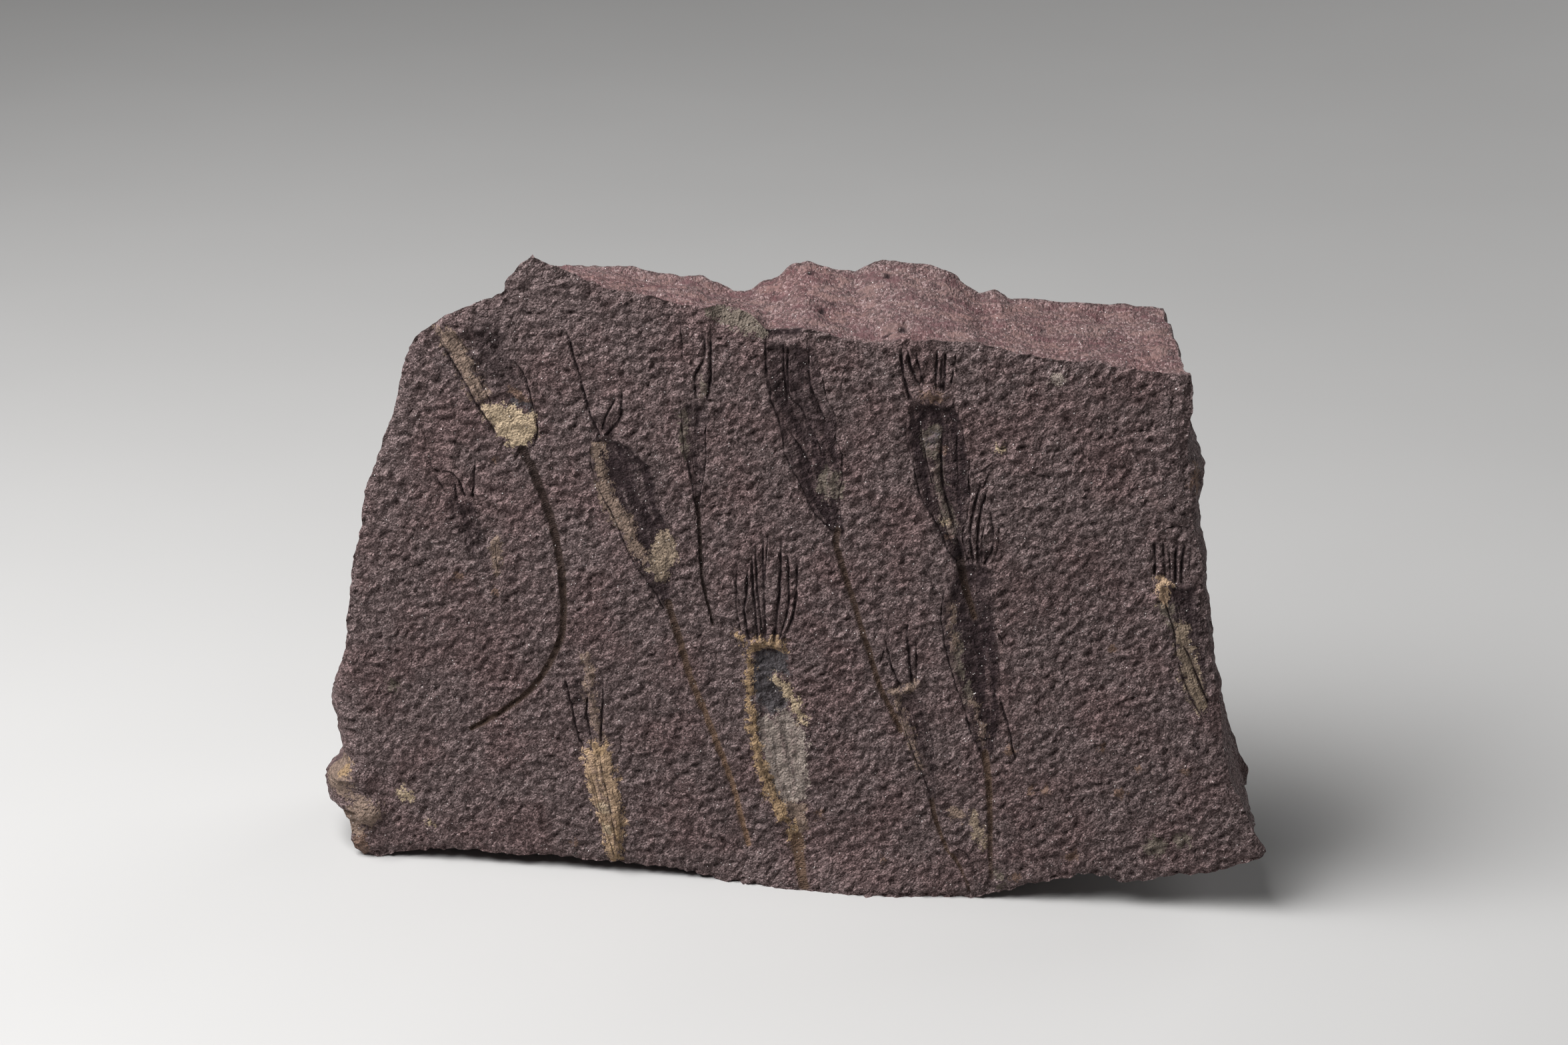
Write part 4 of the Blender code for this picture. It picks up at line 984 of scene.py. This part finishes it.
def side_faces(loops):
    """Four-sided faces between each loop of point numbers and the next."""
    count = len(loops[0])
    return [
        (near[b], near[a], far[a], far[b])
        for near, far in zip(loops, loops[1:])
        for a, b in zip(range(count), [*range(1, count), 0])
    ]


def whole_marks(front_marks, points, fresh):
    """The front's marks with rest values for all other points, and the sides' own marks."""
    marks = {}
    for name, values in front_marks.items():
        rest = FAR if name in FINISHES else 0.0
        marks[name] = np.concatenate([values, np.full(len(points) - len(values), rest)])
    marks["fresh"] = fresh
    marks["smudge"] += fresh * smooth_step(2.0 * hole_share(points))
    for name, centre, radius in SIDE_SPOTS:
        within = radius - away_from(points, centre) + 1.5 * lumps(points, 2.0, 34)
        marks[name] = np.maximum(marks[name], np.clip(within, FAR, None))
    return marks


def slab_mesh(sizes):
    """Points, faces and marks of the whole slab, closed, with its faces outwards."""
    plain, (front_rim, back_rim), bulge, foot, top = rim_loops(sizes.side_step / MM)
    front, front_faces, front_place, front_marks = front_face(front_rim, sizes)
    back, back_faces, back_place = back_face(back_rim, sizes)
    row_count = round(sizes.thickness / sizes.side_row_step)
    rims = front[front_place], back[back_place]
    rows = side_rows(plain, *rims, bulge, foot, top, row_count)
    points = np.concatenate([front, back, *rows])
    first = len(front) + len(back)
    numbers = np.arange(first, len(points)).reshape(len(rows), -1).tolist()
    loops = [front_place, *numbers, [len(front) + place for place in back_place]]
    faces = front_faces.tolist() + (back_faces + len(front)).tolist() + side_faces(loops)
    fresh = np.concatenate([np.zeros(first), *([top] * len(rows))])
    return points, faces, whole_marks(front_marks, points, fresh)


class Pattern:
    """The nodes of a material or a sky. A value is a plain one or another node's output."""

    def __init__(self, tree):
        self.tree = tree

    def fill(self, socket, value):
        if isinstance(value, bpy.types.NodeSocket):
            self.tree.links.new(value, socket)
        else:
            socket.default_value = value

    def node(self, kind, inputs, **settings):
        node = self.tree.nodes.new("ShaderNode" + kind)
        for name, value in settings.items():
            setattr(node, name, value)
        for name, value in inputs.items():
            self.fill(node.inputs[name], value)
        return node

    def coordinates(self, kind="Object"):
        return self.node("TexCoord", {}).outputs[kind]

    def math(self, operation, *values):
        return self.node("Math", dict(enumerate(values)), operation=operation).outputs[0]

    def times(self, first, second):
        return self.math("MULTIPLY", first, second)

    def plus(self, first, second):
        return self.math("ADD", first, second)

    def minus(self, first, second):
        return self.math("SUBTRACT", first, second)

    def times_plus(self, first, second, third):
        return self.math("MULTIPLY_ADD", first, second, third)

    def mark(self, name):
        return self.node("Attribute", {}, attribute_name=name).outputs["Fac"]

    def between(self, value, low, high, to_low=0.0, to_high=1.0):
        """The value's place between low and high, eased, as one from to_low to to_high."""
        names = ("Value", "From Min", "From Max", "To Min", "To Max")
        inputs = dict(zip(names, (value, low, high, to_low, to_high)))
        return self.node("MapRange", inputs, interpolation_type="SMOOTHSTEP").outputs["Result"]

    def mixed(self, share, below, above, blend="MIX"):
        inputs = {0: share, 6: below, 7: above}
        return self.node("Mix", inputs, data_type="RGBA", blend_type=blend).outputs[2]

    def stretched(self, place, scale):
        return self.node("Mapping", {"Vector": place, "Scale": scale}).outputs["Vector"]

    def grains(self, place, size, detail=3.0, roughness=0.6):
        """Noise with grains of about the given size in millimetres."""
        inputs = {
            "Vector": place, "Scale": 1.0 / (size * MM), "Detail": detail, "Roughness": roughness,
        }
        return self.node("TexNoise", inputs).outputs["Fac"]

    def cells(self, place, size):
        """Cells of about the given size in millimetres, and a number by chance for each."""
        cell = self.node("TexVoronoi", {"Vector": place, "Scale": 1.0 / (size * MM)})
        chance = self.node("SeparateColor", {"Color": cell.outputs["Color"]}).outputs[0]
        return cell.outputs["Distance"], chance


def paint(colour, share=1.0):
    return (*[share * part for part in colour], 1.0)


class StonePattern(Pattern):
    """Sandstone with dark moulds, crusts and stains, all laid by the slab's own marks."""

    def __init__(self, tree, colours):
        super().__init__(tree)
        self.colours = colours
        self.place = self.coordinates()
        self.fresh, self.cup = self.mark("fresh"), self.mark("cup")
        self.drawn = self.drawn_place()
        self.fine = self.grains(self.drawn, 0.3, 2.0)
        self.bumps = self.grains(self.drawn, 0.95, 1.5, 0.5)
        self.coarse = self.grains(self.place, 1.1)
        self.streak = self.cup_streaks()
        self.colour = self.mixed(self.fresh, paint(colours.stone), paint(colours.fresh_break))

    def drawn_place(self):
        """Where the grains lie: drawn out along the ridges, or along the bedding on top."""
        turn = {
            "Vector": self.place, "Rotation": (0.0, -RIDGE_ANGLE, 0.0),
            "Scale": (FINE_STRETCH, 1.0, 1.0),
        }
        turned = self.node("Mapping", turn, vector_type="TEXTURE").outputs["Vector"]
        above = self.math("GREATER_THAN", self.fresh, 0.5)
        inputs = {0: above, 4: turned, 5: self.stretched(self.place, TOP_STRETCH)}
        return self.node("Mix", inputs, data_type="VECTOR").outputs[1]

    def cup_streaks(self):
        """Noise drawn out along the cups."""
        height = self.node("SeparateXYZ", {"Vector": self.place}).outputs["Z"]
        along = self.times(height, 1.0 / (STREAK_LENGTH * MM))
        lengthwise = self.node("CombineXYZ", {"X": self.mark("across"), "Z": along})
        return self.grains(lengthwise.outputs["Vector"], 1.0 / MM, 3.0, 0.6)

    def lay(self, share, name, blend="MIX"):
        """Covers the stone with one of the colours by the given share."""
        colour = paint(getattr(self.colours, name))
        self.colour = self.mixed(share, self.colour, colour, blend)

    def lay_grains(self):
        """Lays the grains and mottles, and painted shade in the hollows of the broad bumps, and gives
        the distance inside each grain.
        """
        distance, tone = self.cells(self.drawn, GRAIN_SIZE)
        middle = self.minus(self.fine, 0.5 * GRAIN_TONE)
        tone = self.times_plus(tone, GRAIN_TONE, middle)
        dark = paint(self.colours.dark_grain_and_shade)
        self.colour = self.mixed(self.between(tone, 0.36, 0.52), dark, self.colour)
        self.lay(self.between(tone, 0.5, 0.68), "light_grain")
        layered = self.stretched(self.place, MOTTLE_STRETCH)
        mottle = self.grains(layered, 3.4, 4.0, 0.65)
        self.lay(self.times(self.fresh, self.between(mottle, 0.5, 0.62, 0.0, 0.8)), "pale_break")
        self.lay(self.times(self.fresh, self.between(mottle, 0.5, 0.38, 0.0, 0.8)), "deep_break")
        # Painted shade: the dark grain colour darkens the hollows of the broad bumps, which the bump
        # map lowers
        self.lay(self.between(self.bumps, 0.52, 0.38, 0.0, 0.5), "dark_grain_and_shade")
        patchy = self.grains(self.place, 14.0, 4.0)
        self.lay(self.between(patchy, 0.4, 0.65, 0.0, 0.6), "pink_tint", "MULTIPLY")
        return distance

    def lay_moulds(self):
        light = self.times(self.cup, self.between(self.streak, 0.52, 0.62, 0.0, 0.5))
        dark = self.between(self.coarse, 0.3, 0.5, 0.65, 1.0)
        mould = self.times(self.mark("mould"), dark)
        self.lay(self.times(mould, self.minus(1.0, light)), "mould")
        dark = self.between(self.coarse, 0.3, 0.5, 0.5, 1.0)
        self.lay(self.times(self.mark("smudge"), dark), "arm")

    def lay_crusts(self, chipped):
        """Lays the crusts and stains, with the dark streaks of the cups under the palest, then the
        painted highlight on the ribs and banks.
        """
        dark = self.between(self.streak, 0.5, 0.42, 0.0, STREAK_SHADE)
        shade = self.between(self.plus(self.fine, self.coarse), 0.88, 1.1)
        for name in FINISHES:
            if name == "cream":
                streaked = self.mixed(0.75, self.colour, paint(self.colours.arm))
                self.colour = self.mixed(self.times(self.cup, dark), self.colour, streaked)
            crust = getattr(self.colours, name)
            tone = self.mixed(shade, paint(crust, CRUST_SHADE), paint(crust))
            within = self.plus(chipped, self.mark(name))
            worn = self.between(within, -0.35, 0.15, 0.0, 0.95)
            self.colour = self.mixed(worn, self.colour, tone)
        # Painted highlight on the raised ribs and on the lit bank of each groove
        rib = self.between(self.coarse, 0.4, 0.6, 0.0, 0.6)
        self.lay(self.times(self.mark("rib"), rib), "rib")

    def lay_stems(self):
        """Lays the ringed stems, and gives the height of their rings."""
        tan, place = self.mark("tan"), self.mark("ring")
        ring = self.math("SINE", self.times(place, 2.0 * np.pi / RING_SPACING))
        tone = self.mixed(tan, paint(self.colours.stem), paint(self.colours.tan_stem))
        shade = self.between(ring, 0.5, -0.8, 0.0, RING_SHADE)
        shade = self.times(shade, self.times_plus(tan, -0.8, 1.0))
        tone = self.mixed(shade, tone, paint(self.colours.arm))
        stem = self.between(self.mark("stem"), 0.0, 0.6)
        self.colour = self.mixed(self.times(stem, 0.92), self.colour, tone)
        return self.times(self.times(ring, stem), RING_BUMP)

    def lay_arms(self, chipped):
        # Painted dark along the grooves: partly their dark fill, partly painted shade
        uneven = self.plus(self.times(chipped, 0.25), self.mark("arm"))
        self.lay(self.between(uneven, 0.1, 0.7, 0.0, 0.9), "arm")

    def lay_flakes(self):
        """Lays the flakes of mica as painted glints, pale dots that are partly the flakes' own colour,
        and gives where they are.
        """
        distance, chance = self.cells(self.place, FLAKE_SIZE)
        chance = self.times_plus(self.mark("mould"), 0.007, chance)
        chosen = self.between(chance, 0.985, 1.0, 0.0, 0.9)
        flake_glint = self.between(self.plus(distance, self.fine), 0.95, 0.8)
        bright = self.times(chosen, flake_glint)
        self.lay(bright, "flake_glint")
        return bright

    def normal(self, grain_distance, rings):
        """The bumps of the grains, the rings and the cups' streaks."""
        height = self.times_plus(self.fine, FINE_BUMP, self.times(self.bumps, BROAD_BUMP))
        height = self.times_plus(grain_distance, -GRAIN_BUMP, height)
        height = self.plus(height, rings)
        height = self.times_plus(self.times(self.streak, self.cup), STREAK_BUMP, height)
        calm = self.minus(1.0, self.times(0.5, self.fresh))
        inputs = {
            "Height": self.times(height, calm), "Distance": BUMP_HEIGHT * MM, "Strength": 1.0,
        }
        return self.node("Bump", inputs).outputs["Normal"]


def new_material(name):
    material = bpy.data.materials.new(name)
    material.use_nodes = True
    return material, material.node_tree, material.node_tree.nodes["Principled BSDF"]


def stone_material(colours):
    material, tree, shader = new_material("sandstone with fossils")
    stone = StonePattern(tree, colours)
    grain_distance = stone.lay_grains()
    stone.lay_moulds()
    chipped = stone.times(stone.minus(stone.fine, 0.5), 3.0)
    chipped = stone.plus(chipped, stone.times(stone.minus(stone.coarse, 0.5), 5.0))
    stone.lay_crusts(chipped)
    rings = stone.lay_stems()
    stone.lay_arms(chipped)
    bright = stone.lay_flakes()
    stone.fill(shader.inputs["Base Color"], stone.colour)
    stone.fill(shader.inputs["Roughness"], stone.between(bright, 0.0, 1.0, ROUGH, FLAKE_ROUGH))
    stone.fill(shader.inputs["Normal"], stone.normal(grain_distance, rings))
    shader.inputs["Specular IOR Level"].default_value = STONE_GLOSS
    return material


def pale_floor_material(colour):
    material, tree, shader = new_material("pale floor")
    floor = Pattern(tree)
    tone = floor.between(floor.grains(floor.coordinates(), FLOOR_PATCH), 0.3, 0.7)
    floor.fill(shader.inputs["Base Color"], floor.mixed(tone, paint(colour, 0.97), paint(colour)))
    shader.inputs["Roughness"].default_value = 0.6
    return material


def colour_value(name, description, default):
    return FloatVectorProperty(
        name=name, description=description, default=default, subtype="COLOR", min=0.0, max=1.0
    )


def length_value(name, description, millimetres):
    return FloatProperty(
        name=name, description=description, default=millimetres * MM, unit="LENGTH", min=0.0
    )


def power_value(name, description, default):
    return FloatProperty(
        name=name, description=description, default=default, min=0.0, unit="POWER"
    )


class PlateSizes(bpy.types.PropertyGroup):
    thickness: length_value("Thickness", "From the front face to the back face", 37.0)
    grain_height: length_value("Grain height", "How far the stone's grains stand up", 0.92)
    front_step: length_value("Front step", "Between the points of the front face", 0.72)
    back_step: length_value("Back step", "Between the points of the back face", 1.6)
    side_step: length_value("Side step", "Between the points round the sides", 0.82)
    side_row_step: length_value("Side row step", "Between the rows from front to back", 1.3)


class PlateColours(bpy.types.PropertyGroup):
    stone: colour_value("Stone", "Most grains of the sandstone", (0.128, 0.093, 0.0915))
    # Dark grains, and also the painted shade in the hollows of the bumps
    dark_grain_and_shade: colour_value("Dark grain", "Dark grains and dirt", (0.066, 0.046, 0.045))
    light_grain: colour_value("Light grain", "Light grains", (0.265, 0.198, 0.194))
    fresh_break: colour_value("Fresh break", "Stone of the broken top", (0.125, 0.069, 0.069))
    pale_break: colour_value("Pale break", "Pale mottles of the top", (0.176, 0.111, 0.103))
    deep_break: colour_value("Deep break", "Dark mottles of the top", (0.1, 0.052, 0.055))
    pink_tint: colour_value("Pink tint", "Tint of the warmer patches", (1.0, 0.86, 0.86))
    mould: colour_value("Mould", "Stone inside the cups", (0.022, 0.013, 0.015))
    # Dark of the grooves, partly their fill and partly painted shade in them
    arm: colour_value("Arm", "Grooves of arms and spines", (0.016, 0.009, 0.01))
    # Painted highlight on the raised ribs and the banks of the grooves
    rib: colour_value("Rib", "Worn ribs and banks", (0.21, 0.145, 0.14))
    stem: colour_value("Stem", "Dark stems", (0.03, 0.019, 0.016))
    tan_stem: colour_value("Tan stem", "Tan stems", (0.25, 0.155, 0.102))
    cream: colour_value("Cream", "Palest crust", (0.465, 0.358, 0.244))
    ochre: colour_value("Ochre", "Brownish tan crust", (0.262, 0.188, 0.148))
    sand: colour_value("Sand", "Sandy crust", (0.5, 0.345, 0.225))
    gold: colour_value("Gold", "Golden crust of the collars", (0.38, 0.257, 0.15))
    olive: colour_value("Olive", "Greenish yellow crust", (0.3, 0.228, 0.168))
    slate: colour_value("Slate", "Bluish grey stain", (0.112, 0.1, 0.106))
    chalk: colour_value("Chalk", "Pale grey green crust", (0.335, 0.277, 0.243))
    rust: colour_value("Rust", "Orange stain", (0.19, 0.12, 0.092))
    film: colour_value("Film", "Thin greenish film", (0.165, 0.135, 0.11))
    # Painted glints of the mica flakes, partly their own pale colour
    flake_glint: colour_value("Flake", "Bright flakes of mica", (0.85, 0.8, 0.78))


class StageValues(bpy.types.PropertyGroup):
    floor: colour_value("Floor", "Colour of the floor", (0.45, 0.445, 0.44))
    sky: FloatProperty(
        name="Sky", description="Strength of the even light", default=0.18, min=0.0
    )
    key: power_value("Key", "Strength of the main light", 15.6)
    fill: power_value("Fill", "Strength of the second light", 0.5)
    back: power_value("Back", "Strength of the light behind", 11.0)


class PLATE_OT_add_slab(bpy.types.Operator):
    """Add the sandstone slab with its fossils, in place of the plain solid"""

    bl_idname = "plate.add_slab"
    bl_label = "Sandstone slab"

    def execute(self, context):
        points, faces, marks = slab_mesh(context.scene.plate_sizes)
        mesh = bpy.data.meshes.new("stone_slab")
        mesh.from_pydata(((points + PLACE) * MM).tolist(), [], faces)
        for name, values in marks.items():
            layer = mesh.attributes.new(name, "FLOAT", "POINT")
            layer.data.foreach_set("value", values)
        slab = bpy.data.objects.new("stone_slab", mesh)
        context.scene.collection.objects.link(slab)
        bpy.ops.object.select_all(action="DESELECT")
        slab.select_set(True)
        context.view_layer.objects.active = slab
        bpy.ops.object.mode_set(mode="EDIT")
        bpy.ops.mesh.select_all(action="SELECT")
        bpy.ops.mesh.quads_convert_to_tris()
        bpy.ops.mesh.normals_make_consistent(inside=False)
        bpy.ops.object.mode_set(mode="OBJECT")
        bpy.ops.object.shade_smooth_by_angle(angle=np.radians(SHARP_ANGLE))
        mesh.materials.append(stone_material(context.scene.plate_colours))
        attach(slab, "root")
        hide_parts("fossil_slab")
        return {"FINISHED"}


def direction(azimuth, elevation):
    """The way from the slab to a point, by its turn from the front and its rise in degrees."""
    turn, rise = np.radians(azimuth), np.radians(elevation)
    return Vector((np.sin(turn) * np.cos(rise), -np.cos(turn) * np.cos(rise), np.sin(rise)))


def add_light(name, size, power, azimuth, elevation, distance):
    """A soft square light that points at the middle of the slab."""
    way = direction(azimuth, elevation)
    bpy.ops.object.light_add(type="AREA", location=Vector(LIGHT_AIM) + distance * way)
    light = bpy.context.object
    light.name = name
    light.data.shape = "SQUARE"
    light.data.size = size
    light.data.energy = power
    light.rotation_euler = way.to_track_quat("Z", "Y").to_euler()


def add_sky(scene, strength):
    """Even light from all round, weaker from above."""
    world = bpy.data.worlds.new("even light")
    world.use_nodes = True
    sky = Pattern(world.node_tree)
    height = sky.node("SeparateXYZ", {"Vector": sky.coordinates("Generated")}).outputs["Z"]
    shine = sky.between(height, *SKY_BAND, strength, SKY_TOP * strength)
    sky.fill(world.node_tree.nodes["Background"].inputs["Color"], shine)
    scene.world = world


def add_camera(scene):
    azimuth, elevation, distance = CAMERA_PLACE
    way = direction(azimuth, elevation)
    aim = Vector((PLACE + np.array(CAMERA_AIM)) * MM)
    bpy.ops.object.camera_add(location=aim + distance * way)
    camera = bpy.context.object
    camera.rotation_euler = way.to_track_quat("Z", "Y").to_euler()
    camera.data.lens = CAMERA_LENS
    camera.data.sensor_width = CAMERA_SENSOR
    camera.data.clip_end = CAMERA_END
    scene.camera = camera


class PLATE_OT_add_stage(bpy.types.Operator):
    """Add the pale floor, the soft lights and the camera"""

    bl_idname = "plate.add_stage"
    bl_label = "Stage"

    def execute(self, context):
        values = context.scene.plate_stage
        bpy.ops.object.select_all(action="DESELECT")
        bpy.ops.mesh.primitive_plane_add(size=FLOOR_SIZE, location=(0.0, 0.0, 0.0))
        floor = context.object
        floor.name = "floor"
        floor.data.materials.append(pale_floor_material(values.floor))
        add_light("key light", KEY_SIZE, values.key, *KEY_PLACE)
        add_light("fill light", FILL_SIZE, values.fill, *FILL_PLACE)
        add_light("back light", BACK_SIZE, values.back, *BACK_PLACE)
        add_sky(context.scene, values.sky)
        context.scene.view_settings.view_transform = "Standard"
        add_camera(context.scene)
        return {"FINISHED"}


class PLATE_PT_parts(bpy.types.Panel):
    """Lists the parts of the fossil plate and their values"""

    bl_label = "Fossil Plate"
    bl_idname = "PLATE_PT_parts"
    bl_space_type = "VIEW_3D"
    bl_region_type = "UI"
    bl_category = "Fossil Plate"

    def draw(self, context):
        layout = self.layout
        for operator in OPERATORS:
            layout.operator(operator.bl_idname)
        for name in VALUES:
            group = getattr(context.scene, name)
            for key in group.bl_rna.properties.keys():
                if key not in ("name", "rna_type"):
                    layout.prop(group, key)


OPERATORS = (PLATE_OT_add_slab, PLATE_OT_add_stage)
VALUES = {"plate_sizes": PlateSizes, "plate_colours": PlateColours, "plate_stage": StageValues}


def register():
    for group in (*VALUES.values(), *OPERATORS, PLATE_PT_parts):
        bpy.utils.register_class(group)
    for name, group in VALUES.items():
        setattr(bpy.types.Scene, name, PointerProperty(type=group))


def unregister():
    for name in VALUES:
        delattr(bpy.types.Scene, name)
    for group in (PLATE_PT_parts, *OPERATORS, *VALUES.values()):
        bpy.utils.unregister_class(group)


def main():
    register()
    bpy.ops.plate.add_slab()
    bpy.ops.plate.add_stage()


if __name__ == "__main__":
    main()
